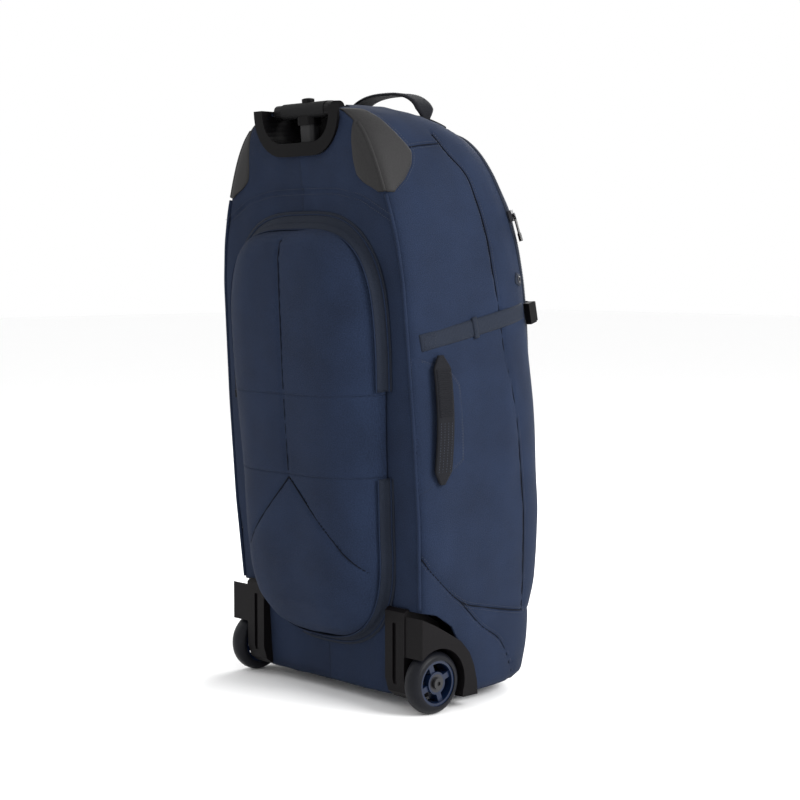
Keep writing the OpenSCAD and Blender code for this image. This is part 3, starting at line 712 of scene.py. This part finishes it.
def cover_line(pairs, step=4.0):
    """Seam on the cover through (across, up) points."""
    pts = []
    for (x0, u0), (x1, u1) in zip(pairs, pairs[1:]):
        for t in np.linspace(0, 1, max(2, int(math.hypot(x1 - x0, u1 - u0) / step))):
            pts.append((x0 + (x1 - x0) * t, u0 + (u1 - u0) * t))
    out = []
    for x, up in pts:
        p = cover_point(x, up)
        a, b = cover_point(x + 1, up) - cover_point(x - 1, up), cover_point(x, up + 1) - cover_point(x, up - 1)
        n = np.cross(a, b)
        out.append((p, n / np.linalg.norm(n)))
    return out


v_line, centre_line = cover_line(V_SEAM), cover_line(CENTRE_SEAM)
v_points = np.array([p for p, _ in v_line])
cover_lines = [v_points, mirrored(v_points), np.array([p for p, _ in centre_line])]


def cover_panel(name, low, high, body, node, seed):
    ups = np.linspace(low, high, max(3, int((high - low) / 3.2)))
    close_rows = np.array([0.0, 0.4, 1.0, 2.0])
    if low < LOWER_END - 200:
        ups = np.r_[low + close_rows, ups[2:]]
    if high > UPPER_END + 100:
        ups = np.r_[ups[:-2], high - close_rows[::-1]]
    rows = [cover_points(up) for up in ups]
    flat = [(p[0] / 1000.0, up / 1000.0) for up, row in zip(ups, rows) for p in row]
    obj = new_mesh(name, np.vstack(rows), grid_faces(len(rows), len(rows[0])), flat)
    d = distances(obj, cover_lines)
    shift_normals(obj, -2.0 * np.exp(-((d / 2.4) ** 2)) - 2.4 * np.exp(-d / 20.0))
    # The folds stay true, so that the flaps turn on them without cutting into the bridge
    ups = np.array([up_along(v.co * 1000) for v in obj.data.vertices])
    from_fold = np.minimum(abs(ups - LOWER_END), abs(ups - UPPER_END))
    ripples(obj, 1.8, seed=seed, keep=np.clip(from_fold / 30.0, 0.0, 1.0))
    return fabric_piece(obj, "navy_fabric", body, node, thickness=0.0026, fill=0.8)


cover_panel("cover_upper", UPPER_END + LAY, HIGH_MID + HIGH_REACH - 1, "harness_upper", "harness_upper_panel", 3.0)
cover_panel("cover_bridge", LOWER_END, UPPER_END, "bag", "harness_bridge", 3.0)
cover_panel("cover_lower", LOW_MID - LOW_REACH + 1, LOWER_END - LAY, "harness_lower", "harness_lower_panel", 3.0)


def outline_point(t, g, top):
    """Point of the cover's outline grown by g: t runs from 0 at the side to 90 at the end."""
    half, reach, n = (HIGH_HALF, HIGH_REACH, HIGH_N) if top else (LOW_HALF, LOW_REACH, LOW_N)
    mid, s = (HIGH_MID, 1) if top else (LOW_MID, -1)
    a = math.radians(t)
    return (half + g) * max(0.0, math.cos(a)) ** (2 / n), mid + s * (reach + g) * math.sin(a) ** (2 / n)


BAND_SECTION = [(9.0, 0.4), (5.0, 0.6), (1.6, 1.8), (0.7, 5.0), (0.3, 8.0), (-0.2, 11.0), (-0.9, 14.0),
                (-1.6, 16.0)]
BAND_DEEP = 16.0


def cover_band(name, top, end, node):
    """Zip tape round one end of the cover, with its coil."""
    def side(g, out):
        slope_out = (11.0 if top else 3.0) * max(0.0, 1.0 - out / BAND_DEEP)
        pts = [outline_point(t, g + slope_out * math.sin(math.radians(t)) ** 6, top)
               for t in np.linspace(0, 90, 60)]
        x0 = outline_point(0, g, top)[0]
        mid = HIGH_MID if top else LOW_MID
        other = (LOW_HALF if top else HIGH_HALF) + g
        reach = abs(end - mid)
        slope = (other - x0) / (HIGH_MID - LOW_MID)
        straight = [(x0 + slope * reach * f, mid + (end - mid) * f) for f in np.linspace(1, 0.05, 12)]
        return straight + pts
    columns = []
    for g, out in BAND_SECTION:
        right = side(g, out)
        columns.append([from_back(x, out, u) for x, u in right + [(-x, u) for x, u in right[:-1][::-1]]])
    points = np.stack(columns, 1)
    normals = np.cross(np.gradient(points, axis=1), np.gradient(points, axis=0))
    middle = from_back(0, 20, 230)
    normals *= np.sign(np.sum(normals * (points - middle), axis=2))[..., None]
    normals /= np.linalg.norm(normals, axis=2)[..., None]
    tape = strip(name, points, normals, 0.9, sunk=0.5)
    k = len(BAND_SECTION) // 2
    coil_path, coil_normals = resample(list(zip(points[:, k], normals[:, k])), 2.0)
    coil = blocks(name + "_coil", coil_path, coil_normals, (1.3, 3.2, 0.5), lift=0.6)
    finish_piece(coil, "charcoal_webbing", "bag")
    for edge in (1, -1):
        welt_path, welt_normals = resample(list(zip(points[:, edge], normals[:, edge])), 4.0)
        finish_piece(tube(f"{name}_welt_{edge % 3}", welt_path, welt_normals, 0.9, lift=0.9), "navy_fabric", "bag")
    return finish_piece(tape, "charcoal_webbing", "bag", node)


cover_band("upper_zip_tape", True, UPPER_END + 4, "upper_zip")
cover_band("lower_zip_tape", False, LOWER_END - 2, "lower_zip")

# --- main zip, piping, seams
ZIP_W = 9.0


def lid_tape():
    heights = np.arange(LID_LOW + 30, 700, 4.0)
    grid, normals = [], []
    for z in heights:
        s = half_ring(z)[LID]
        row = [at_run(z, s - o) for o in (ZIP_W, 7.4, 5.4, 3.6, 1.8, 0.5)]
        grid.append([p for p, _ in row])
        normals.append([n for _, n in row])
    grid, normals = np.array(grid), np.array(normals)
    tapes = [strip("zip_side", grid, normals, 1.7), strip("zip_side_left", grid, normals, 1.7, mirror=True)]
    path = [(0.5 * (a + b), n) for a, b, n in zip(grid[:, 2], grid[:, 3], normals[:, 2])]
    coils = [blocks("coil", q, m, (1.3, 3.2, 0.8), lift=1.6) for q, m in both_sides(*resample(path, 2.0))]
    finish_piece(join("main_zip_coil", coils), "charcoal_webbing", "bag")
    finish_piece(join("main_zip_tape", tapes), "charcoal_webbing", "bag", "main_zip")


lid_tape()

PIPE_LOW, PIPE_TOP = 126.0, 700.0
GUARD_LOW = 618.0


def edge_cord(name, low, high):
    """Piping in both back corners between two heights."""
    q, m = resample(edge_line(low, high, CORNER), 4.0)
    return join(name, [tube("pipe", a, b, 2.3, sides=10, lift=0.3) for a, b in both_sides(q, m)])


finish_piece(edge_cord("piping_cord", PIPE_LOW, GUARD_LOW), "navy_fabric", "bag", "piping")
finish_piece(edge_cord("guard_ridge", GUARD_LOW, PIPE_TOP), "guard", "bag")


def seam_stitches(name, lines, body, offset=3.4, mirror=True, lift=0.0):
    """Double row of thread beside each seam."""
    made = []
    for line in lines:
        for q, m in both_sides(*resample(line, 3.4), mirror):
            for side in (-1, 1):
                made.append(blocks("stitch", q, m, (2.3, 0.55, 0.35), offset=side * offset, lift=lift - 2.1))
    return finish_piece(join(name, made), "navy_fabric", body, extra=THREAD)


seam_stitches("seam_thread", side_seams + rear_seams, "bag", lift=0.3)


def seam_gap(name, lines, body, mirror=True, lift=-2.7, radius=0.9):
    """Dark tube sunk in each seam's groove: painted shade along a sewn seam."""
    made = [tube("gap", q, m, radius, sides=6, lift=lift)
            for line in lines for q, m in both_sides(*resample(line, 4.0), mirror)]
    return finish_piece(join(name, made), "navy_fabric", body, extra=SEAM_SHADE)


# Painted shade: dark tubes along the body's side seams
seam_gap("seam_shade_lines", side_seams, "bag")
# Painted shade: dark tubes along the cover's V and centre seams, split between its three panels
for part, body, low, high in (("lower", "harness_lower", -60, LOWER_END), ("bridge", "bag", LOWER_END, UPPER_END),
                              ("upper", "harness_upper", UPPER_END, 600)):
    for label, line, twice in (("v", v_line, True), ("centre", centre_line, False)):
        inside = [(p, n) for p, n in line if low + 3 < up_along(p) < high - 3]
        if len(inside) > 3:
            seam_gap(f"cover_{label}_{part}", [inside], body, mirror=twice, lift=-3.1)

# --- patches and ribbons on the body
def on_top(x, y):
    """Point on the body's rounded top."""
    def inside(z):
        s = soft_spread(z)
        half, front, mid = lookup(z, HALF_W, s), lookup(z, FRONT, s), lookup(z, MIDDLE, s)
        n = lookup(z, SQUARE_FRONT if y > mid else SQUARE_BACK, s)
        reach = front - mid if y > mid else mid - back_y(z)
        return (abs(x) / half) ** n + (abs(y - mid) / reach) ** n < 1.0
    low, high = 600.0, BODY_TOP
    if inside(high):
        return np.array([x, y + SHIFT_Y, high + 1.0])
    for _ in range(24):
        m = 0.5 * (low + high)
        low, high = (m, high) if inside(m) else (low, m)
    return np.array([x, y + SHIFT_Y, low])


def top_point(x, y):
    p = on_top(x, y)
    n = np.cross(on_top(x + 2, y) - on_top(x - 2, y), on_top(x, y + 2) - on_top(x, y - 2))
    return p, n / np.linalg.norm(n)


def even_outline(outline, pitch, least):
    """Evenly spaced points round a closed outline."""
    closed = np.vstack([outline, outline[:1]]).astype(float)
    run = run_along(closed)
    count = max(least, int(run[-1] / pitch))
    s = np.arange(count) / count * run[-1]
    return np.stack([np.interp(s, run, closed[:, k]) for k in (0, 1)], 1)


def patch(name, outline, place, thick, sunk=0.6, mirror=False, rings_in=9, corner=3.0, lift=0.0):
    """Sewn-on piece with an outline on the body's surface, its edge rolled over."""
    edge = even_outline(outline, 3.0, 24)
    count = len(edge)
    for _ in range(int(corner)):
        edge = 0.5 * edge + 0.25 * (np.roll(edge, 1, 0) + np.roll(edge, -1, 0))
    middle = edge.mean(axis=0)
    fractions = list(np.linspace(0.12, 0.93, rings_in)) + [0.975, 1.0]
    heights = [1.0] * rings_in + [0.8, 0.25]
    flip = np.array([-1.0, 1.0, 1.0]) if mirror else np.ones(3)
    top, low, uv = [], [], []
    for f, h in zip(fractions, heights):
        for a, b in middle + (edge - middle) * f:
            p, n = place(a, b)
            top.append((p + n * (lift + thick * h)) * flip)
            low.append((p + n * (lift - sunk)) * flip)
            uv.append((a / 1000.0, b / 1000.0))
    rows, k = len(fractions), len(fractions) * count
    faces = grid_faces(rows, count, wrap=True)
    faces += [tuple(k + i for i in f[::-1]) for f in faces]
    faces += [tuple(range(count))[::-1], tuple(k + i for i in range(count))]
    e = (rows - 1) * count
    faces += [(e + i, e + (i + 1) % count, k + e + (i + 1) % count, k + e + i) for i in range(count)]
    return facing_out(new_mesh(name, top + low, faces, uv + uv))


def ribbon(name, centres, across, half_widths, thick, sunk=None, cols_n=9):
    """Webbing along a path, with the direction across it at each point."""
    c = np.asarray(centres, float)
    w = np.asarray(across, float)
    w = w / np.linalg.norm(w, axis=1)[:, None]
    half = np.broadcast_to(np.asarray(half_widths, float), len(c))
    offsets = np.linspace(-1, 1, cols_n)
    grid = c[:, None] + w[:, None] * (half[:, None, None] * offsets[None, :, None])
    tangent = np.gradient(c, axis=0)
    n = np.cross(w, tangent)
    n /= np.linalg.norm(n, axis=1)[:, None]
    normals = np.broadcast_to(n[:, None], grid.shape)
    return strip(name, grid, normals, thick / 2, sunk=thick / 2 if sunk is None else sunk, round_ends=False)


def pair(make):
    """Two pieces, one for each side of the bag."""
    return [make(False), make(True)]


# Corner guards
GUARD_REAR = [(616, 138), (622, 128), (627, 115), (637, 102), (655, 97), (678, 95), (700, 95), (722, 90)]
GUARD_SIDE = [(616, -46), (621, -41), (632, -26), (650, -10), (665, -4), (673, -8), (687, -18), (707, -30),
              (722, -42)]
GUARD_Z = (617, 717)


def guard(mirror):
    grid, normals = [], []
    for z in np.linspace(*GUARD_Z, 44):
        xy, run, corner, *_ = half_ring(z)
        rear = run <= corner
        s0 = float(np.interp(min(lookup(z, GUARD_REAR, 4), xy[rear, 0][-1] - 3), xy[rear, 0], run[rear]))
        s1 = float(np.interp(max(lookup(z, GUARD_SIDE, 4), xy[~rear, 1][0] + 3), xy[~rear, 1], run[~rear]))
        row = [at_run(z, s) for s in np.linspace(s0, s1, 30)]
        grid.append([p for p, _ in row])
        normals.append([n for _, n in row])
    obj = strip("guard", grid, normals, 1.5, mirror=mirror)
    seam = [at_run(z, half_ring(z)[CORNER]) for z in np.arange(*GUARD_Z, 3.0)]
    cross = [on_side(y, z) for y, z in smooth_path([(-62, 674), (-40, 677), (-12, 684)])] + \
        [on_rear(x, z) for x, z in smooth_path([(96, 688), (118, 683), (134, 677)])]
    lines = both([seam, cross])
    d = distances(obj, lines)
    shift_normals(obj, -0.9 * np.exp(-((d / 1.8) ** 2)))
    return obj


finish_piece(join("guard_leather", pair(guard)), "guard", "bag", "corner_guards")
guard_edge = [on_side(y, z) for z, y in GUARD_SIDE[1:-1]]
seam_stitches("guard_thread", [guard_edge], "bag", offset=-2.0, mirror=True, lift=4.0)

# Patch under the side handle
PATCH = [(-43, 427), (-29, 424), (14, 411), (30, 393), (35, 337), (36, 301), (-4, 277), (-37, 260)]
side_patch = join("side_patch", [patch("side_patch", PATCH, on_side, 1.2)])
finish_piece(side_patch, "navy_fabric", "bag", "side_handle_patch")
inner = [(y * 0.93 + 0.2, 355 + (z - 355) * 0.955) for y, z in PATCH]
patch_seam = [on_side(y, z) for y, z in inner[1:] + inner[:1]]
seam_stitches("patch_thread", [patch_seam], "bag", offset=0.8, mirror=False, lift=3.2)

# Side handle: ribbed grip above, stitched below
SIDE_LOW, SIDE_HIGH, SIDE_FACE, SIDE_BOW = 276, 428, 184.6, 4.1
SIDE_T, SIDE_HALF, SIDE_TIP, SIDE_TAPER = 2.8, 13.5, 4.0, 15.0
side_z = np.linspace(SIDE_LOW, SIDE_HIGH, 60)
bow = SIDE_FACE + SIDE_T / 2 + SIDE_BOW * np.sin((side_z - SIDE_LOW) / (SIDE_HIGH - SIDE_LOW) * math.pi) ** 0.8
bend = -5.0 * np.clip((side_z - 350) / 78, 0, 1) ** 1.6 - 1.5 * np.clip((330 - side_z) / 54, 0, 1)
side_path = np.stack([bow, SHIFT_Y + bend, side_z], 1)
side_half = np.interp(side_z, (SIDE_LOW, SIDE_LOW + SIDE_TAPER, SIDE_HIGH - SIDE_TAPER, SIDE_HIGH),
                      (SIDE_TIP, SIDE_HALF, SIDE_HALF, SIDE_TIP))
across_y = np.broadcast_to([0.0, 1.0, 0.0], side_path.shape)
handle = [ribbon("side_handle_band", side_path, across_y, side_half, SIDE_T, cols_n=13)]
outward = np.broadcast_to([1.0, 0.0, 0.0], side_path.shape)
for z in np.arange(356, 412, 2.6):
    x = float(np.interp(z, side_z, bow)) + SIDE_T / 2 - 0.35
    y = SHIFT_Y + float(np.interp(z, side_z, bend))
    pts = np.array([[x, y + o, z] for o in np.linspace(-11.5, 11.5, 8)])
    handle.append(tube("rib", pts, np.broadcast_to([1.0, 0, 0], pts.shape), 0.95, sides=8))
finish_piece(join("side_handle_web", handle), "black_webbing", "side_grab", "side_handle")
rows_of_thread = []
for o in (-9, -3, 3, 9):
    keep = (side_z > 290) & (side_z < 350)
    q, m = resample(list(zip(side_path[keep] + [0, o, 0], outward[keep])), 3.0)
    rows_of_thread.append(blocks("stitch", q, m, (2.0, 0.6, 0.35), lift=SIDE_T / 2 - 0.1))
finish_piece(join("side_handle_thread", rows_of_thread), "black_webbing", "side_grab", extra=THREAD)

# Compression straps
STRAP_Z, STRAP_RISE, STRAP_W, STRAP_T = 441.0, math.radians(11.1), 20.0, 2.0
STRAP_Y, STRAP_FROM, STRAP_TO = -33.0, -29.0, 152.0


def strap_height(y):
    return STRAP_Z + (y - STRAP_Y) * math.tan(STRAP_RISE)


def strap_grid(y0, y1, width, step=3.0, lift=0.0):
    grid, normals = [], []
    for y in np.arange(y0, y1 + 0.01, step):
        row = [on_side(y - o * math.sin(STRAP_RISE), strap_height(y) + o)
               for o in np.linspace(-width / 2, width / 2, 9)]
        grid.append([p + n * lift for p, n in row])
        normals.append([n for _, n in row])
    return np.array(grid), np.array(normals)


strap = strap_grid(STRAP_FROM, STRAP_TO, STRAP_W)
finish_piece(strip("strap_web_right", *strap, STRAP_T), "charcoal_webbing", "bag", "strap_right")
finish_piece(strip("strap_web_left", *strap, STRAP_T, mirror=True), "charcoal_webbing", "bag", "strap_left")
keeper = strap_grid(52, 60, STRAP_W + 5, step=2.0, lift=STRAP_T + 0.1)
keepers = pair(lambda left: strip("keeper", *keeper, 1.5, sunk=0.0, mirror=left))
finish_piece(join("keeper_loops", keepers), "charcoal_webbing", "bag", "strap_keepers")
box_y = [(-24, -7), (-24, 7), (-8, 7), (-8, -7), (-24, -7), (-8, 7)]
box_path = [on_side(y, strap_height(y) + o) for y, o in box_y]
seam_stitches("strap_thread", [box_path], "bag", offset=0.0, lift=STRAP_T + 2.2)

# Lid webbing: from the buckle's plug over the zip to the lid
BUCKLE = (Matrix.Translation(Vector((0.1615, 0.163 + SHIFT_Y / 1000, 0.4735)))
          @ Matrix.Rotation(math.radians(12), 4, "X") @ Matrix.Rotation(math.radians(104), 4, "Z"))


def lid_web(mirror):
    tongue = [(11.8, -7.4), (14.6, -7.2), (17.4, -3.6), (26.0, 11.0), (33.6, 25.6)]
    pts = [np.array(BUCKLE @ Vector((a / 1000, b / 1000, 0))) * 1000 for a, b in tongue]
    axis = np.array((BUCKLE.to_3x3() @ Vector((0, 0, 1))))
    centres = list(resample([(p, axis) for p in pts], 2.5)[0])
    across = [axis] * len(centres)
    flat = [on_front(x, z) for x, z in zip(np.linspace(134, 86, 22), np.linspace(482, 521, 22))]
    sideways = np.array([0.63, 0.0, 0.775])
    for p, m in flat:
        centres.append(p + m * 1.1)
        w = sideways - m * np.dot(sideways, m)
        across.append(w / np.linalg.norm(w))
    across = np.array(across)
    for _ in range(6):
        across[1:-1] = 0.5 * across[1:-1] + 0.25 * (across[2:] + across[:-2])
    obj = ribbon("lid_web", centres, across, 9.8, 1.9)
    if mirror:
        obj.data.transform(Matrix.Scale(-1, 4, (1, 0, 0)))
        obj.data.flip_normals()
    return obj


finish_piece(join("lid_web_straps", pair(lid_web)), "charcoal_webbing", "lid", "lid_webbing")

# Tab with an eyelet beside the zip
TAB = [(132, 510), (149, 506), (151, 520), (136, 524)]


def tab(mirror):
    return patch("tab", TAB, on_side, 1.5, mirror=mirror, rings_in=4)


finish_piece(join("tab_cloth", pair(tab)), "charcoal_webbing", "bag", "zip_tab")


def eyelet(mirror):
    p, n = on_side(142, 515)
    side = np.cross(n, [0, 0, 1.0])
    side /= np.linalg.norm(side)
    up = np.cross(side, n)
    ring = [p + n * 1.6 + 3.4 * (math.cos(a) * side + math.sin(a) * up) for a in np.linspace(0, 2 * math.pi, 25)]
    normals = np.broadcast_to(n, (len(ring), 3))
    return tube("eyelet", *both_sides(np.array(ring), normals)[1 if mirror else 0], 0.9, sides=8)


finish_piece(join("tab_eyelets", pair(eyelet)), "steel", "bag")

# Top handle
GRAB_Y, GRAB_HALF, GRAB_LOW, GRAB_HIGH, GRAB_T = 86.0, 65.0, 711.9, 748.0, 3.6
ts = np.linspace(0, math.pi, 70)
arch = np.array([[(GRAB_HALF + 1) * math.copysign(abs(math.cos(t)) ** 0.8, math.cos(t)), GRAB_Y + SHIFT_Y,
                  GRAB_LOW + (GRAB_HIGH - GRAB_LOW - 2.2) * math.sin(t) ** 0.8] for t in ts])
arch_half = np.interp(arch[:, 2] - GRAB_LOW, (0, 2, 13), (6.0, 7.0, 14.6))
grab_across = np.broadcast_to([0.0, 1.0, 0.0], arch.shape)
web = ribbon("grab_web", arch, grab_across, arch_half, GRAB_T, cols_n=13)
finish_piece(join("grab_webbing", [web]), "black_webbing", "grab", "grab_handle")
grab_threads = []
for o in (-11.5, 11.5):
    keep = np.abs(arch[:, 0]) < 55
    q, m = resample([(p + [0, o, 0], np.array([0, 0, 1.0])) for p in arch[keep]], 3.0)
    grab_threads.append(blocks("stitch", q, m, (2.0, 0.6, 0.35), lift=GRAB_T / 2 - 0.1))
finish_piece(join("grab_thread", grab_threads), "black_webbing", "grab", extra=THREAD)

FEET = [(61, 72), (89, 72), (89, 100), (61, 100)]
feet = pair(lambda left: patch("foot_web", FEET, top_point, 2.0, mirror=left, rings_in=6, corner=1))
finish_piece(join("grab_feet_web", feet), "black_webbing", "bag", "grab_handle_feet")


# --- harness pads
def pillow(name, outline, out_low, out_high):
    """Flat-backed padded form over an outline in the back panel's frame."""
    edge = even_outline(outline, 5.0, 30)
    count = len(edge)
    normal2 = np.roll(edge, -1, 0) - np.roll(edge, 1, 0)
    normal2 = np.stack([normal2[:, 1], -normal2[:, 0]], 1) / np.linalg.norm(normal2, axis=1)[:, None]
    area = 0.5 * np.sum(edge[:, 0] * np.roll(edge[:, 1], -1) - np.roll(edge[:, 0], -1) * edge[:, 1])
    inward = -normal2 * np.sign(area)
    height = out_high - out_low
    verts, rows = [], []
    depth = 0.5 * height
    for k in range(7):
        a = math.pi * (k / 6 - 0.5)
        ring = edge + inward * (depth * (1 - math.cos(a)))
        rows.append((ring, out_low + height * (0.5 + 0.5 * math.sin(a)) * 0.82))
    rim = rows[-1][0]
    middle = rim.mean(axis=0)
    for f in (0.97, 0.9, 0.75, 0.5, 0.25, 0.08):
        rows.append((middle + (rim - middle) * f, out_low + height * (0.82 + 0.18 * (1 - f**6))))
    for ring, out in rows:
        verts += [from_back(x, out, u) for x, u in ring]
    faces = grid_faces(len(rows), count, wrap=True)
    faces += [tuple(range(count))[::-1], tuple((len(rows) - 1) * count + i for i in range(count))]
    return facing_out(new_mesh(name, verts, faces, [(p[0] / 1000, p[2] / 1000) for p in verts]))


def arc(cx, cy, r, a0, a1, n):
    return [(cx + r * math.cos(a), cy + r * math.sin(a)) for a in map(math.radians, np.linspace(a0, a1, n))]


PAD_IN = -14.0
ends = [outline_point(t, PAD_IN, True) for t in np.linspace(0, 90, 24)]
ends_low = [outline_point(t, PAD_IN, False) for t in np.linspace(90, 0, 24)]
right_edge = ends_low + ends
pad_outline = right_edge + [(-x, u) for x, u in right_edge[::-1][1:-1]]
pad = pillow("pad", pad_outline, 0.2, 5.8)
finish_piece(pad, "foam", "bag", "back_pad")

SHOULDER = (arc(52, 96, 26, 180, 360, 12) + [(76, 250), (70, 420)]
            + arc(44, 430, 26, 0, 180, 12) + [(20, 420), (27, 250)])
HIP = [(14, 44), (50, 44)] + arc(60, 69, 25, -60, 90, 8) + [(14, 94)]


def flipped(outline):
    return [(-x, u) for x, u in outline[::-1]]


for label, outline, low, high, node in (("shoulder", SHOULDER, 6.4, 17.9, "shoulder_straps"),
                                        ("hip", HIP, 18.5, 31.8, "hip_belt")):
    pads = [pillow(label, outline, low, high), pillow(label + "_left", flipped(outline), low, high)]
    piece = join(label + "_pads", pads)
    finish_piece(piece, "foam", "bag", node)

# --- CAD parts that stay: finish, softened edges
BEVELLED = {"recess_cup": 1.2, "housing_left": 1.2, "housing_right": 1.2, "buckle_sockets": 0.5,
            "buckle_plugs": 0.4, "grip_caps": 0.8, "front_feet": 0.8, "pole_collar": 0.5, "middle_collar": 0.4,
            "tyre_left": 0.5, "tyre_right": 0.5, "hub_left": 0.6, "hub_right": 0.6, "main_zip_slider": 0.2,
            "upper_zip_slider": 0.2, "lower_zip_slider": 0.2}
slots = {part["node"]: part["material_slot"] for part in frame["record"]["subparts"]}
for name, obj in frame["nodes"].items():
    obj.data.materials.clear()
    obj.data.materials.append(MATERIALS[slots[name]])
    if name in BEVELLED:
        edge = obj.modifiers.new("edge", "BEVEL")
        edge.width = BEVELLED[name] / 1000.0
        edge.segments = 2
        edge.limit_method = "ANGLE"
        edge.angle_limit = math.radians(35)
        edge.use_clamp_overlap = True

# --- camera, light, floor
AZIMUTH, DOWN = math.radians(47.083), math.radians(4.339)
EYE = Vector((1.68373, -1.53124, 0.53431))
look = Vector((-math.sin(AZIMUTH) * math.cos(DOWN), math.cos(AZIMUTH) * math.cos(DOWN), -math.sin(DOWN)))
lens = bpy.data.cameras.new("camera")
lens.lens = 80.9
lens.sensor_width = 36.0
camera = bpy.data.objects.new("camera", lens)
camera.location = EYE
camera.rotation_euler = look.to_track_quat("-Z", "Y").to_euler()
bpy.context.scene.collection.objects.link(camera)
bpy.context.scene.camera = camera


def area_light(name, place, size, watts):
    light = bpy.data.lights.new(name, "AREA")
    light.size = size
    light.energy = watts
    obj = bpy.data.objects.new(name, light)
    obj.location = place
    obj.rotation_euler = (Vector((0, 0, 0.35)) - Vector(place)).to_track_quat("-Z", "Y").to_euler()
    bpy.context.scene.collection.objects.link(obj)


area_light("key", (3.0, 0.5, 1.9), 1.4, 120)
area_light("fill", (1.2, -2.8, 1.6), 1.8, 4)
area_light("rim", (-2.4, -1.4, 1.6), 1.2, 8)
area_light("front", (-1.0, 2.6, 1.6), 1.6, 60)
world = bpy.data.worlds.new("world")
world.use_nodes = True
world.node_tree.nodes["Background"].inputs["Color"].default_value = (1.0, 1.0, 1.0, 1.0)
world.node_tree.nodes["Background"].inputs["Strength"].default_value = 1.0
bpy.context.scene.world = world
bpy.context.scene.view_settings.view_transform = "Standard"
FLOOR = 14000.0
floor = new_mesh("floor", [(-FLOOR, -FLOOR, 0), (FLOOR, -FLOOR, 0), (FLOOR, FLOOR, 0), (-FLOOR, FLOOR, 0)],
                 [(0, 1, 2, 3)])
floor.data.materials.append(textured("floor", (0.97, 0.97, 0.97), 0.8, 40, 0.02, 0.005, spec=0.1, blotch=3))
